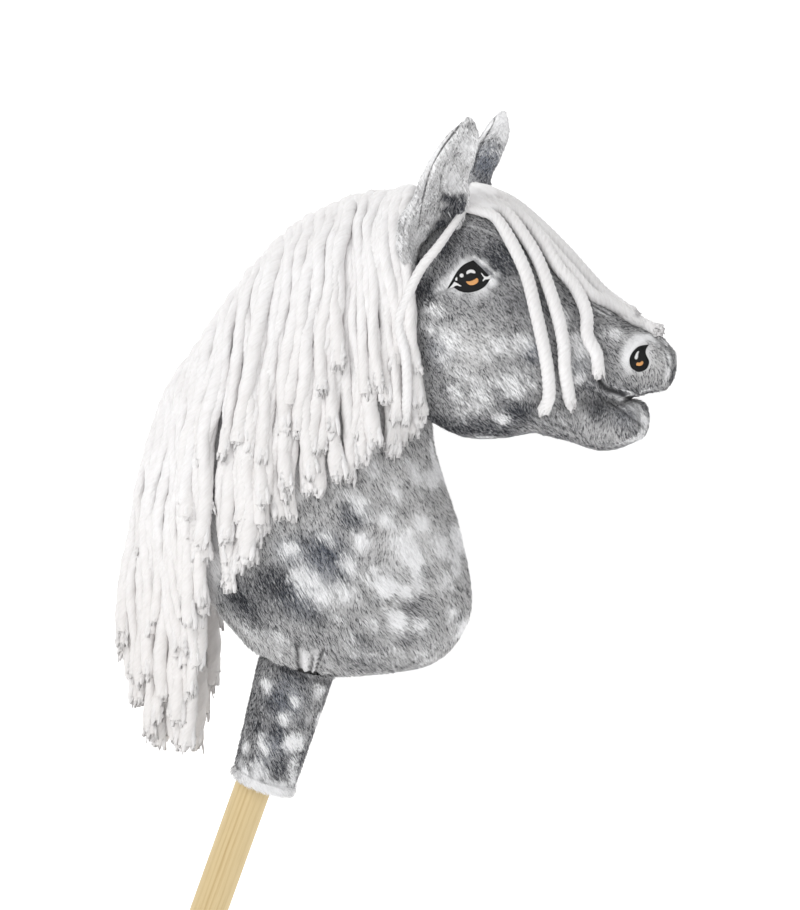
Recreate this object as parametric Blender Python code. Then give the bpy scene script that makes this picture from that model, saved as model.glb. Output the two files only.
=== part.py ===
# Hobby horse: a stuffed plush head and neck on a round pine stick, with a yarn mane.
# Metres, +Z up, +X the way the horse faces, +Y its left side.
# The origin is the centre of the stick's lower end face. The stick leans forward as it is ridden.

import math

import bmesh
import bpy
import numpy as np
from mathutils import Matrix, Vector
from mathutils.bvhtree import BVHTree

CLEARANCE = 0.0003  # gap between neighbouring pieces
OVERRUN = 0.004  # how far a trimmed end or a cutter runs past the face that trims it

# Stick
STICK_DIAMETER = 0.025
STICK_LENGTH = 0.800
STICK_EXPOSED = 0.520  # bare wood below the sleeve
STICK_LEAN = math.radians(20.0)
STICK_ROUNDING = 0.002
STICK_SIDES = 40

# Plush sleeve on the stick, and the turned hem at its lower end
SLEEVE_LENGTH = 0.084
SLEEVE_WALL = 0.0025
SLEEVE_TOP_DIAMETER = 0.051
SLEEVE_END_DIAMETER = 0.042
SLEEVE_SAG = 0.0053  # the loose end hangs this far forward of the stick
HEM_HEIGHT = 0.006
HEM_SWELL = 0.0012

# Neck
NECK_HEIGHT = 0.316
NECK_DEPTH = 0.220
NECK_THICKNESS = 0.124
COLLAR_DIAMETER = 0.032  # neck cloth gathered round the stick
COLLAR_LENGTH = 0.015
PLEAT_DEPTH = 0.0022

# Tie that binds the collar to the stick, inside the sleeve
TIE_WIDTH = 0.0048
TIE_THICKNESS = 0.0013
TIE_HEAD_WIDTH = 0.0062
TIE_HEAD_LENGTH = 0.006
TIE_HEAD_HEIGHT = 0.0036

# Head
HEAD_LENGTH = 0.190
HEAD_HEIGHT = 0.164
HEAD_THICKNESS = 0.106
MUZZLE_ROUNDING = 0.009

# Lower jaw and the lining of the open mouth
JAW_LENGTH = 0.088
JAW_HEIGHT = 0.038
JAW_THICKNESS = 0.062
CHIN_ROUNDING = 0.009
JAW_SET_BACK = 0.1012  # from the front of the muzzle to the back of the jaw
JAW_BELOW_MUZZLE = 0.0109
LINING_SLOPE = math.radians(34.0)
LINING_START = 0.050  # along the jaw and up it, a point of the lining's seam
LINING_RISE = 0.0114

# Ears, each of a back panel and a lining
EAR_LENGTH = 0.097
EAR_WIDTH = 0.046
EAR_PANEL = 0.003
EAR_FORWARD = 0.013  # from the top of the neck to the foot of the ear
EAR_APART = 0.044
EAR_DROP = 0.004
EAR_LEAN = math.radians(18.6)
EAR_FLARE = math.radians(10.6)
EAR_TURN = math.radians(50.0)  # the ears open forward and this far outward
EAR_THINNING = 0.55  # share of the width below which the panels thin out
EAR_ARC_POINTS = 9

# Eyes and nostrils, embroidered patches on the plush
PATCH_THICKNESS = 0.001
PATCH_REACH = 0.026  # half the depth of the column that a patch is cut from
EYE_WIDTH = 0.028
EYE_HEIGHT = 0.0205
EYE_UPPER = 0.55  # share of the height above the corners
EYE_NARROWING = 0.35  # share of the height lost towards the corners
EYE_SIDES = 20
EYE_TILT = math.radians(-4.0)
EYE_SHARE = 0.40  # place along the head, then round it from the ridge
EYE_TURN = math.radians(76.0)
NOSTRIL_WIDTH = 0.0135
NOSTRIL_HEIGHT = 0.0195
NOSTRIL_NARROWING = 0.42  # share of the width lost at the top
NOSTRIL_SIDES = 16
NOSTRIL_TILT = math.radians(20.0)
NOSTRIL_SHARE = 0.87
NOSTRIL_TURN = math.radians(79.0)

# Yarn mane and the tape that it is sewn to
TAPE_WIDTH = 0.018
TAPE_THICKNESS = 0.0016
MANE_LENGTHS = (0.150, 0.192, 0.205, 0.220, 0.272, 0.245, 0.168)  # from the ears to the lowest yarn
MANE_THICKNESS = 0.014
MANE_TAPER = 0.35  # share of the thickness lost towards the cut ends
MANE_RISE = 0.017  # how far the yarn stands off the crest
MANE_AHEAD = 0.013  # the foremost yarn is pushed this far towards the ears
MANE_SWEEP = 0.024  # and its end falls this far forward again, over the cheek
MANE_SWEPT_LINES = 8
MANE_TAIL_RISE = 0.030  # the ends behind the crest lie higher by this much
MANE_TAIL_FALL = 0.060  # height of the outermost yarn
MANE_BULGE = 0.011  # how far the yarn hangs out behind its lowest seam
MANE_LOCKS = 12  # on each side
MANE_TAIL_LINES = 5
LOCK_RELIEF = 0.004
LOCK_STAGGER = 0.006
MANE_PARTING = 0.002
MANE_SINK = 0.002  # the fall is drawn this deep into the plush, which then trims it
MANE_TOP = 1.0  # shares of the neck's length, from the collar, between which the mane is sewn
MANE_FOOT = 0.53
TAPE_TOP = 0.93
TAPE_FOOT = 0.44
TAPE_END_ROOM = 0.01
MANE_FALL = (0.03, 0.11, 0.24, 0.40, 0.58, 0.78, 1.00)  # shares of the yarn's length

# Yarn forelock, sewn side by side to its own tape across the poll, between the ears
STRAND_DIAMETER = 0.0078
STRAND_POINTS = 18
STRAND_SETTLING = 0.06  # share of the head's length over which it comes down from the tape
FORELOCK_TAPE_WIDTH = 0.010
FORELOCK_TAPE_PLACE = 0.33  # share of the head's length, on the ridge
FORELOCK_TAPE_BOW = 0.045  # and how far forward its ends bend round the ears

FORWARD = Vector((1.0, 0.0, 0.0))
LEFT = Vector((0.0, 1.0, 0.0))
UP = Vector((0.0, 0.0, 1.0))
STICK_AXIS = Vector((math.sin(STICK_LEAN), 0.0, math.cos(STICK_LEAN)))
STICK_FRONT = Vector((math.cos(STICK_LEAN), 0.0, -math.sin(STICK_LEAN)))
NECK_SEAT = STICK_AXIS * (STICK_EXPOSED + SLEEVE_LENGTH)

RING_SIDES = 24
STRIP_RINGS = 14
SHARP_ANGLE = math.radians(40.0)
SQUARENESS = 2.3  # exponent of the rounded cross-sections
DOME_RINGS = 3
DOME_LEAN = 0.1  # share of the form's length over which the direction of its dome is taken
NORMAL_STEP = 0.004
CREST_STEP = 0.01  # share of the neck's length over which the direction of the crest is taken

# Outlines. Each row is one cross-section, from the crest or ridge to the throat side:
# (x, z) of the upper edge, (x, z) of the lower edge, then the share of the thickness.
# x and z are shares of the form's own length or depth, and height.
NECK_OUTLINE = (
    (-0.141, 0.046, 0.171, -0.010, 0.50),
    (-0.262, 0.142, 0.405, 0.012, 0.78),
    (-0.368, 0.228, 0.508, 0.070, 0.93),
    (-0.444, 0.323, 0.546, 0.157, 0.99),
    (-0.413, 0.515, 0.499, 0.319, 1.00),
    (-0.219, 0.744, 0.424, 0.472, 0.88),
    (0.030, 0.919, 0.421, 0.632, 0.76),
    (0.312, 1.000, 0.490, 0.812, 0.58),
)
HEAD_OUTLINE = (
    (-0.031, 0.055, -0.078, -0.518, 0.60),
    (0.059, 0.187, -0.013, -0.666, 0.84),
    (0.168, 0.220, 0.095, -0.748, 0.95),
    (0.276, 0.178, 0.204, -0.780, 1.00),
    (0.479, -0.023, 0.406, -0.748, 0.90),
    (0.645, -0.227, 0.594, -0.654, 0.70),
    (0.819, -0.346, 0.775, -0.625, 0.62),
    (0.880, -0.408, 0.855, -0.592, 0.50),
)
JAW_OUTLINE = (
    (0.024, 0.303, 0.000, -0.316, 0.90),
    (0.414, 0.374, 0.414, -0.600, 1.00),
    (0.609, 0.268, 0.593, -0.739, 0.96),
    (0.781, 0.126, 0.750, -0.713, 0.86),
    (0.906, 0.021, 0.890, -0.563, 0.68),
)
FORELOCK_STRANDS = (  # the end's share along the head, degrees round it, power of the turn aside
    (0.97, 15.0, 1.0),
    (0.75, 104.0, 2.0),
    (0.69, 112.0, 1.7),
    (0.63, 118.0, 1.5),
)
EAR_OUTLINE = (  # share of the length, share of the width, half angle of the fold in degrees
    (-0.12, 0.50, 95.0),
    (0.05, 0.68, 88.0),
    (0.25, 0.92, 74.0),
    (0.48, 1.00, 60.0),
    (0.70, 0.82, 50.0),
    (0.87, 0.50, 42.0),
    (1.00, 0.10, 36.0),
)


def clear_scene():
    for item in list(bpy.data.objects):
        bpy.data.objects.remove(item, do_unlink=True)


def make_material(name, colour, roughness, metallic=0.0):
    material = bpy.data.materials.new(name)
    material.use_nodes = True
    shader = material.node_tree.nodes["Principled BSDF"]
    shader.inputs["Base Color"].default_value = (*colour, 1.0)
    shader.inputs["Roughness"].default_value = roughness
    shader.inputs["Metallic"].default_value = metallic
    material.diffuse_color = (*colour, 1.0)
    return material


def add_piece(name, mesh, material=None, parent=None, smooth=True):
    piece = bpy.data.objects.new(name, mesh)
    bpy.context.scene.collection.objects.link(piece)
    if smooth:
        mesh.shade_smooth()
        mesh.set_sharp_from_angle(angle=SHARP_ANGLE)
    if material is not None:
        mesh.materials.append(material)
    piece.parent = parent
    return piece


def add_cutter(name, mesh, growth=0.0, parent=None):
    cutter = add_piece(name, mesh, parent=parent, smooth=False)
    cutter.hide_render = True
    cutter.display_type = "WIRE"
    if growth:
        swell = cutter.modifiers.new("Growth", "DISPLACE")
        swell.strength = growth
        swell.mid_level = 0.0
    return cutter


def cut(piece, *cutters, operation="DIFFERENCE"):
    for cutter in cutters:
        trim = piece.modifiers.new(f"{operation.title()} {cutter.name}", "BOOLEAN")
        trim.operation = operation
        trim.object = cutter
        trim.solver = "EXACT"


def mesh_from(bm, name):
    # Every quad is split along its shorter diagonal, so that nested skins bend alike.
    bmesh.ops.recalc_face_normals(bm, faces=bm.faces)
    quads = [face for face in bm.faces if len(face.verts) == 4]
    bmesh.ops.triangulate(bm, faces=quads, quad_method="SHORT_EDGE")
    mesh = bpy.data.meshes.new(name)
    bm.to_mesh(mesh)
    bm.free()
    return mesh


def loft(name, rings, start_pole=None, end_pole=None):
    # Rings of equal count are bridged in order, and each end is a pole or a flat face.
    bm = bmesh.new()
    loops = [[bm.verts.new(point) for point in ring] for ring in rings]
    count = len(loops[0])
    for ring, following in zip(loops, loops[1:]):
        for i in range(count):
            j = (i + 1) % count
            bm.faces.new((ring[i], ring[j], following[j], following[i]))
    for loop, pole in ((loops[0], start_pole), (loops[-1], end_pole)):
        if pole is None:
            bm.faces.new(loop)
            continue
        tip = bm.verts.new(pole)
        for i in range(count):
            bm.faces.new((loop[i], loop[(i + 1) % count], tip))
    return mesh_from(bm, name)


def tube(name, outer, inner):
    # A wall between two sets of rings, open at both ends.
    bm = bmesh.new()
    skins = [[[bm.verts.new(point) for point in ring] for ring in rings] for rings in (outer, inner)]
    count = len(outer[0])
    for skin in skins:
        for ring, following in zip(skin, skin[1:]):
            for i in range(count):
                j = (i + 1) % count
                bm.faces.new((ring[i], ring[j], following[j], following[i]))
    for end in (0, -1):
        for i in range(count):
            j = (i + 1) % count
            bm.faces.new((skins[0][end][i], skins[0][end][j], skins[1][end][j], skins[1][end][i]))
    return mesh_from(bm, name)


def spline_row(rows, place):
    # A smooth curve through the rows of an outline; place runs from 0 to the last row.
    index = min(max(int(math.floor(place)), 0), len(rows) - 2)
    t = place - index
    before = rows[max(index - 1, 0)]
    start = rows[index]
    end = rows[index + 1]
    after = rows[min(index + 2, len(rows) - 1)]
    bend = 2.0 * before - 5.0 * start + 4.0 * end - after
    twist = 3.0 * (start - end) + after - before
    return 0.5 * (2.0 * start + (end - before) * t + bend * t * t + twist * t ** 3)


def bent(value):
    # Turns a cosine or sine into its share on a rounded square.
    return math.copysign(abs(value) ** (2.0 / SQUARENESS), value)


class Form:
    # A stuffed form: smooth cross-sections between an upper and a lower edge.

    def __init__(self, outline, origin, length, height, thickness):
        scale = np.array((length, height, length, height, thickness / 2.0))
        self.rows = [np.array(row) * scale for row in outline]
        self.origin = origin
        self.last = len(self.rows) - 1

    def section(self, share):
        row = spline_row(self.rows, share * self.last)
        upper = self.origin + Vector((row[0], 0.0, row[1]))
        lower = self.origin + Vector((row[2], 0.0, row[3]))
        return upper, lower, row[4]

    def centre(self, share):
        upper, lower, _ = self.section(share)
        return (upper + lower) / 2.0

    def point(self, share, turn):
        # turn is 0 on the upper edge, a quarter turn on the left side, and negative on the right.
        upper, lower, half = self.section(share)
        middle = (upper + lower) / 2.0
        return middle + (upper - middle) * bent(math.cos(turn)) + LEFT * half * bent(math.sin(turn))

    def normal(self, share, turn):
        step = NORMAL_STEP
        low, high = max(share - step, 0.0), min(share + step, 1.0)
        along = self.point(high, turn) - self.point(low, turn)
        around = self.point(share, turn + step) - self.point(share, turn - step)
        outward = along.cross(around).normalized()
        if outward.dot(self.point(share, turn) - self.centre(share)) < 0.0:
            outward.negate()
        return outward

    def lifted(self, share, turn, lift):
        return self.point(share, turn) + self.normal(share, turn) * lift

    def rings(self, count):
        turns = [2.0 * math.pi * i / RING_SIDES for i in range(RING_SIDES)]
        return [[self.point(k / count, turn) for turn in turns] for k in range(count + 1)]

    def dome(self, share, length):
        # Rounds off one end with rings that shrink to a pole.
        centre = self.centre(share)
        way = (centre - self.centre(abs(share - DOME_LEAN))).normalized()
        end = [self.point(share, 2.0 * math.pi * i / RING_SIDES) for i in range(RING_SIDES)]
        rings = []
        for k in range(1, DOME_RINGS + 1):
            angle = k * math.pi / 2.0 / (DOME_RINGS + 1)
            shift = way * length * math.sin(angle)
            rings.append([centre + (point - centre) * math.cos(angle) + shift for point in end])
        return rings, centre + way * length


def stick_ring(distance, radius, forward=0.0, sides=RING_SIDES):
    # A circle round the stick's axis, its first point on the side of the crest.
    centre = STICK_AXIS * distance + STICK_FRONT * forward
    turns = [2.0 * math.pi * i / sides for i in range(sides)]
    return [centre + (LEFT * math.sin(turn) - STICK_FRONT * math.cos(turn)) * radius for turn in turns]


def build_stick(parent):
    bm = bmesh.new()
    bmesh.ops.create_circle(bm, cap_ends=True, segments=STICK_SIDES, radius=STICK_DIAMETER / 2.0)
    top = bmesh.ops.extrude_face_region(bm, geom=list(bm.faces))
    raised = [item for item in top["geom"] if isinstance(item, bmesh.types.BMVert)]
    bmesh.ops.translate(bm, verts=raised, vec=(0.0, 0.0, STICK_LENGTH))
    rims = [edge for edge in bm.edges if abs(edge.verts[0].co.z - edge.verts[1].co.z) < STICK_ROUNDING]
    bmesh.ops.bevel(bm, geom=rims, offset=STICK_ROUNDING, segments=3, profile=0.5, affect="EDGES")
    pine = make_material("pine", (0.72, 0.55, 0.30), 0.55)
    stick = add_piece("stick", mesh_from(bm, "stick"), pine, parent)
    stick.rotation_euler = (0.0, STICK_LEAN, 0.0)
    return stick


def neck_form():
    return Form(NECK_OUTLINE, NECK_SEAT, NECK_DEPTH, NECK_HEIGHT, NECK_THICKNESS)


def head_form(neck):
    return Form(HEAD_OUTLINE, neck.centre(1.0), HEAD_LENGTH, HEAD_HEIGHT, HEAD_THICKNESS)


def jaw_form(head):
    # The jaw is set under the muzzle, behind its front.
    upper, lower, _ = head.section(1.0)
    seat = Vector((upper.x - JAW_SET_BACK, 0.0, lower.z - JAW_BELOW_MUZZLE))
    return Form(JAW_OUTLINE, seat, JAW_LENGTH, JAW_HEIGHT, JAW_THICKNESS)


def neck_mesh(neck):
    # The cloth leaves the collar in pleats and swells into the neck.
    seat = STICK_EXPOSED + SLEEVE_LENGTH
    radius = COLLAR_DIAMETER / 2.0
    collar = [stick_ring(seat - COLLAR_LENGTH, radius), stick_ring(seat, radius)]
    body = neck.rings(2 * neck.last)
    for depth, ring in ((PLEAT_DEPTH, body[0]), (PLEAT_DEPTH / 2.0, body[1])):
        middle = sum(ring, Vector()) / len(ring)
        for i in range(0, RING_SIDES, 2):
            ring[i] += (middle - ring[i]).normalized() * depth
    crown, pole = neck.dome(1.0, NECK_THICKNESS * NECK_OUTLINE[-1][-1] / 2.0)
    return loft("neck", collar + body + crown, end_pole=pole)


def domed_mesh(name, form, rounding):
    back, back_pole = form.dome(0.0, rounding)
    front, front_pole = form.dome(1.0, rounding)
    rings = back[::-1] + form.rings(2 * form.last) + front
    return loft(name, rings, start_pole=back_pole, end_pole=front_pole)


def build_neck(mesh, parent):
    bore = stick_ring(STICK_EXPOSED, STICK_DIAMETER / 2.0 + CLEARANCE, sides=STICK_SIDES)
    reach = STICK_AXIS * (STICK_LENGTH + CLEARANCE - STICK_EXPOSED)
    ends = [bore, [point + reach for point in bore]]
    hole = add_cutter("stick_bore", loft("stick_bore", ends), parent=parent)
    neck = add_piece("neck", mesh, make_material("dapple_plush_neck", (0.42, 0.43, 0.46), 0.95), parent)
    cut(neck, hole)
    return neck


def build_head(mesh, neck_cutter, parent):
    head = add_piece("head", mesh, make_material("dapple_plush_head", (0.33, 0.34, 0.36), 0.95), parent)
    cut(head, neck_cutter)
    return head


def build_jaw(jaw, head_cutter, parent):
    # The sewn edge of the mouth lining is a slanting plane across the jaw.
    whole = domed_mesh("lower_jaw", jaw, CHIN_ROUNDING)
    seam = jaw.origin + FORWARD * LINING_START + UP * LINING_RISE
    across = Vector((math.sin(LINING_SLOPE), 0.0, math.cos(LINING_SLOPE)))
    pieces = []
    for name, side, colour in (
        ("lower_jaw", -1.0, (0.36, 0.37, 0.39)),
        ("mouth_lining", 1.0, (0.50, 0.49, 0.53)),
    ):
        bm = bmesh.new()
        bm.from_mesh(whole)
        result = bmesh.ops.bisect_plane(
            bm,
            geom=list(bm.verts) + list(bm.edges) + list(bm.faces),
            plane_co=seam + across * side * CLEARANCE / 2.0,
            plane_no=across * side,
            clear_inner=True,
        )
        rim = [item for item in result["geom_cut"] if isinstance(item, bmesh.types.BMEdge)]
        bmesh.ops.holes_fill(bm, edges=rim)
        piece = add_piece(name, mesh_from(bm, name), make_material(f"{name}_plush", colour, 0.95), parent)
        cut(piece, head_cutter)
        pieces.append(piece)
    return pieces


def ear_frame(top, side):
    # The ear's own axes: along it, the way it opens, and across it.
    along = Vector((math.tan(EAR_LEAN), side * math.tan(EAR_FLARE), 1.0)).normalized()
    opening = Vector((math.cos(EAR_TURN), side * math.sin(EAR_TURN), 0.0))
    opening = (opening - along * opening.dot(along)).normalized()
    foot = top + FORWARD * EAR_FORWARD + LEFT * side * EAR_APART - UP * EAR_DROP
    return foot, along, opening, along.cross(opening)


def ear_ring(frame, row, layer):
    # A crescent: the outer arc out and the inner arc back, one panel thick, thinner at the tip.
    foot, along, opening, across = frame
    share, width, fold = row
    half_angle = math.radians(fold)
    radius = EAR_WIDTH * width / 2.0 / math.sin(min(half_angle, math.pi / 2.0))
    panel = EAR_PANEL * min(width / EAR_THINNING, 1.0)
    inset = layer * (panel + CLEARANCE)
    ring = []
    for reach, order in ((radius - inset, 1), (radius - inset - panel, -1)):
        for i in range(EAR_ARC_POINTS)[::order]:
            angle = half_angle * (2.0 * i / (EAR_ARC_POINTS - 1) - 1.0)
            ring.append(
                foot
                + along * EAR_LENGTH * share
                + across * reach * math.sin(angle)
                + opening * (radius * math.cos(half_angle) - reach * math.cos(angle))
            )
    return ring


def build_ears(neck, head_cutter, neck_cutter, parent):
    back_plush = make_material("ear_plush", (0.55, 0.56, 0.58), 0.95)
    lining_plush = make_material("ear_lining_plush", (0.42, 0.43, 0.46), 0.95)
    outline = [np.array(row) for row in EAR_OUTLINE]
    rows = [spline_row(outline, k / 2.0) for k in range(2 * len(outline) - 1)]
    for side, word in ((-1.0, "right"), (1.0, "left")):
        frame = ear_frame(neck.centre(1.0), side)
        for name, layer, plush in (
            (f"ear_back_{word}", 0, back_plush),
            (f"ear_lining_{word}", 1, lining_plush),
        ):
            mesh = loft(name, [ear_ring(frame, row, layer) for row in rows])
            panel = add_piece(name, mesh, plush, parent)
            cut(panel, head_cutter, neck_cutter)


def build_sleeve(neck_cutter, parent):
    top = STICK_EXPOSED + SLEEVE_LENGTH
    plush = make_material("sleeve_plush", (0.40, 0.42, 0.45), 0.95)
    pile = make_material("hem_pile", (0.78, 0.79, 0.82), 0.98)

    def rings(low, high, inset, swell=0.0, count=6):
        made = []
        for k in range(count + 1):
            distance = low + (high - low) * k / count
            share = min((distance - STICK_EXPOSED) / SLEEVE_LENGTH, 1.0)
            diameter = SLEEVE_END_DIAMETER + (SLEEVE_TOP_DIAMETER - SLEEVE_END_DIAMETER) * share
            bulge = swell * math.sin(math.pi * k / count)
            made.append(stick_ring(distance, diameter / 2.0 - inset + bulge, SLEEVE_SAG * (1.0 - share)))
        return made

    start = STICK_EXPOSED + HEM_HEIGHT + CLEARANCE
    end = top + OVERRUN * 2.0
    sleeve = tube("sleeve", rings(start, end, 0.0), rings(start, end, SLEEVE_WALL))
    cut(add_piece("sleeve", sleeve, plush, parent), neck_cutter)
    low, high = STICK_EXPOSED, STICK_EXPOSED + HEM_HEIGHT
    hem = tube("sleeve_hem", rings(low, high, 0.0, HEM_SWELL, 4), rings(low, high, SLEEVE_WALL, 0.0, 4))
    add_piece("sleeve_hem", hem, pile, parent)


def build_tie(parent):
    # A nylon tie: a band round the collar and its square head.
    inner = COLLAR_DIAMETER / 2.0 + CLEARANCE
    outer = inner + TIE_THICKNESS
    middle = STICK_EXPOSED + SLEEVE_LENGTH - COLLAR_LENGTH / 2.0
    low, high = middle - TIE_WIDTH / 2.0, middle + TIE_WIDTH / 2.0
    band = tube(
        "stick_tie",
        [stick_ring(low, outer), stick_ring(high, outer)],
        [stick_ring(low, inner), stick_ring(high, inner)],
    )
    bm = bmesh.new()
    bmesh.ops.create_cube(bm, size=1.0)
    size = Matrix.Diagonal((TIE_HEAD_HEIGHT, TIE_HEAD_LENGTH, TIE_HEAD_WIDTH, 1.0))
    tilt = Matrix.Rotation(STICK_LEAN, 4, "Y")
    reach = inner + TIE_THICKNESS / 2.0 + TIE_HEAD_HEIGHT / 2.0
    place = Matrix.Translation(STICK_AXIS * middle + STICK_FRONT * reach)
    bmesh.ops.transform(bm, matrix=place @ tilt @ size, verts=bm.verts)
    head = add_cutter("stick_tie_head", mesh_from(bm, "stick_tie_head"), parent=parent)
    nylon = make_material("tie_nylon", (0.05, 0.05, 0.05), 0.4)
    tie = add_piece("stick_tie", band, nylon, parent, smooth=False)
    cut(tie, head, operation="UNION")


def patch_prism(name, outline, centre, tilt, side):
    # A column through the cheek whose ends are trimmed to the plush below and above.
    bm = bmesh.new()
    turn = Matrix.Rotation(tilt, 3, "Y")
    deep = centre - LEFT * side * PATCH_REACH
    inner_end = bm.faces.new([bm.verts.new(deep + turn @ Vector((x, 0.0, z))) for x, z in outline])
    outer_end = bmesh.ops.extrude_face_region(bm, geom=[inner_end])
    verts = [item for item in outer_end["geom"] if isinstance(item, bmesh.types.BMVert)]
    bmesh.ops.translate(bm, verts=verts, vec=LEFT * side * PATCH_REACH * 2.0)
    return mesh_from(bm, name)


def eye_outline():
    # An almond, fuller above than below, with two pointed corners.
    points = []
    for i in range(EYE_SIDES):
        angle = 2.0 * math.pi * i / EYE_SIDES
        lid = EYE_UPPER if math.sin(angle) > 0.0 else 1.0 - EYE_UPPER
        narrowed = 1.0 - EYE_NARROWING * math.cos(angle) ** 2
        points.append((EYE_WIDTH / 2.0 * math.cos(angle), EYE_HEIGHT * lid * math.sin(angle) * narrowed))
    return points


def nostril_outline():
    # A drop: round below, drawn to a point above.
    points = []
    for i in range(NOSTRIL_SIDES):
        angle = 2.0 * math.pi * i / NOSTRIL_SIDES
        narrowed = 1.0 - NOSTRIL_NARROWING * max(math.sin(angle), 0.0)
        across = NOSTRIL_WIDTH / 2.0 * math.cos(angle) * narrowed
        points.append((across, NOSTRIL_HEIGHT / 2.0 * math.sin(angle)))
    return points


def build_patches(head, head_cutter, head_skin, parent):
    thread = make_material("black_embroidery", (0.012, 0.012, 0.014), 0.55)
    for kind, outline, tilt, share, turn in (
        ("eye", eye_outline(), EYE_TILT, EYE_SHARE, EYE_TURN),
        ("nostril", nostril_outline(), NOSTRIL_TILT, NOSTRIL_SHARE, NOSTRIL_TURN),
    ):
        for side, word in ((-1.0, "right"), (1.0, "left")):
            name = f"{kind}_{word}"
            centre = head.point(share, side * turn)
            prism = patch_prism(name, outline, centre, tilt, side)
            patch = add_piece(name, prism, thread, parent, smooth=False)
            cut(patch, head_skin, operation="INTERSECT")
            cut(patch, head_cutter)


def crest_strip(name, form, half_width, start, end):
    # A band along the upper edge, thick enough to be trimmed to the form's own surface.
    depth = OVERRUN * 2.0
    rings = []
    for k in range(STRIP_RINGS + 1):
        share = start + (end - start) * k / STRIP_RINGS
        upper, lower, _ = form.section(share)
        out = (upper - lower).normalized()
        rings.append(
            [
                upper + out * lift + LEFT * width
                for lift, width in (
                    (depth, half_width),
                    (depth, -half_width),
                    (-depth, -half_width),
                    (-depth, half_width),
                )
            ]
        )
    return loft(name, rings)


def poll_strip(name, form, half_width, half_turn):
    # A band across the upper edge, from side to side, made in the same way.
    reach = half_width / HEAD_LENGTH
    corners = ((OVERRUN, reach), (OVERRUN, -reach), (-OVERRUN, -reach), (-OVERRUN, reach))
    rings = []
    for k in range(STRIP_RINGS + 1):
        aside = 2.0 * k / STRIP_RINGS - 1.0
        place = FORELOCK_TAPE_PLACE + FORELOCK_TAPE_BOW * aside ** 2
        rings.append([form.lifted(place + shift, half_turn * aside, lift) for lift, shift in corners])
    return loft(name, rings)


def build_tape(neck, neck_cutter, neck_skin, over_tape, parent):
    cotton = make_material("mane_tape_cotton", (0.80, 0.80, 0.78), 0.9)
    half = TAPE_WIDTH / 2.0
    tape = add_piece("mane_tape", crest_strip("mane_tape", neck, half, TAPE_FOOT, TAPE_TOP), cotton, parent)
    cut(tape, neck_skin, operation="INTERSECT")
    cut(tape, neck_cutter)
    ends = (TAPE_FOOT - TAPE_END_ROOM, TAPE_TOP + TAPE_END_ROOM)
    wide_strip = crest_strip("mane_tape_room", neck, half + CLEARANCE, *ends)
    room = add_cutter("mane_tape_room", wide_strip, parent=parent)
    cut(room, over_tape, operation="INTERSECT")
    return room


def side_depth(trees, x, z):
    # Half the thickness of the plush at a point of the side view, or nothing beside it.
    start = Vector((x, -NECK_THICKNESS, z))
    hits = [tree.ray_cast(start, LEFT)[0] for tree in trees]
    return max((-hit.y for hit in hits if hit is not None and hit.y < 0.0), default=0.0)


def mane_lines(neck):
    # The falls of yarn in the side view, front to back: (x, top, bottom, forward sweep).
    crest = MANE_LOCKS * 2 - MANE_TAIL_LINES
    lengths = [np.array(length) for length in MANE_LENGTHS]
    lines = []
    for k in range(crest + 1):
        share = MANE_TOP + (MANE_FOOT - MANE_TOP) * k / crest
        edge = neck.section(share)[0]
        along = edge - neck.section(share - CREST_STEP)[0]
        top = edge + Vector((-along.z, 0.0, along.x)).normalized() * MANE_RISE
        forward = max(0.0, 1.0 - k / MANE_SWEPT_LINES)
        length = float(spline_row(lengths, (len(lengths) - 1) * k / crest))
        bottom = top.z - length + LOCK_STAGGER * math.cos(math.pi * k / 2.0)
        lines.append((top.x + MANE_AHEAD * forward, top.z, bottom, MANE_SWEEP * forward))
    x, top, bottom, _ = lines[-1]
    for k in range(1, MANE_TAIL_LINES + 1):
        turn = math.pi / 2.0 * k / MANE_TAIL_LINES
        low = bottom + MANE_TAIL_RISE * (1.0 - math.cos(turn))
        fall = MANE_TAIL_FALL + (top - bottom - MANE_TAIL_FALL) * math.cos(turn)
        lines.append((x - MANE_BULGE * math.sin(turn), low + fall, low, 0.0))
    return lines


def crest_height(trees, x):
    # Height of the plush on the middle plane, or nothing behind the neck.
    hits = [tree.ray_cast(Vector((x, 0.0, STICK_LENGTH * 2.0)), -UP)[0] for tree in trees]
    return max((hit.z for hit in hits if hit is not None), default=0.0)


def mane_column(trees, line, number):
    # One fall of yarn: inner and outer points from the parting over the crest and down, right side.
    x_root, top, bottom, sweep = line
    start = max(crest_height(trees, x_root), top - MANE_RISE) - MANE_SINK
    thickness = MANE_THICKNESS - LOCK_RELIEF * (number % 2)
    inner = [Vector((x_root, -MANE_PARTING / 2.0, start - (start - bottom) * MANE_FALL[0] / 2.0))]
    outer = [Vector((x_root, -MANE_PARTING / 2.0, top))]
    depth = MANE_PARTING / 2.0 + MANE_SINK
    for share in MANE_FALL:
        x = x_root + sweep * share ** 2
        z = start + (bottom - start) * share
        depth = max(depth, side_depth(trees, x, z))
        lift = (top - start) * max(0.0, 1.0 - share / MANE_FALL[1])
        inner.append(Vector((x, -(depth - MANE_SINK), z)))
        outer.append(Vector((x, -(depth + thickness * (1.0 - MANE_TAPER * share)), z + lift)))
    return inner, outer


def build_mane(neck, trees, cutters, parent):
    yarn = make_material("white_yarn", (0.86, 0.86, 0.85), 0.9)
    columns = [mane_column(trees, line, number) for number, line in enumerate(mane_lines(neck))]
    right = loft("mane_right", [inner + outer[::-1] for inner, outer in columns])
    left = right.copy()
    left.name = "mane_left"
    left.transform(Matrix.Scale(-1.0, 4, LEFT))
    left.flip_normals()
    for mesh in (right, left):
        cut(add_piece(mesh.name, mesh, yarn, parent), *cutters)


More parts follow.
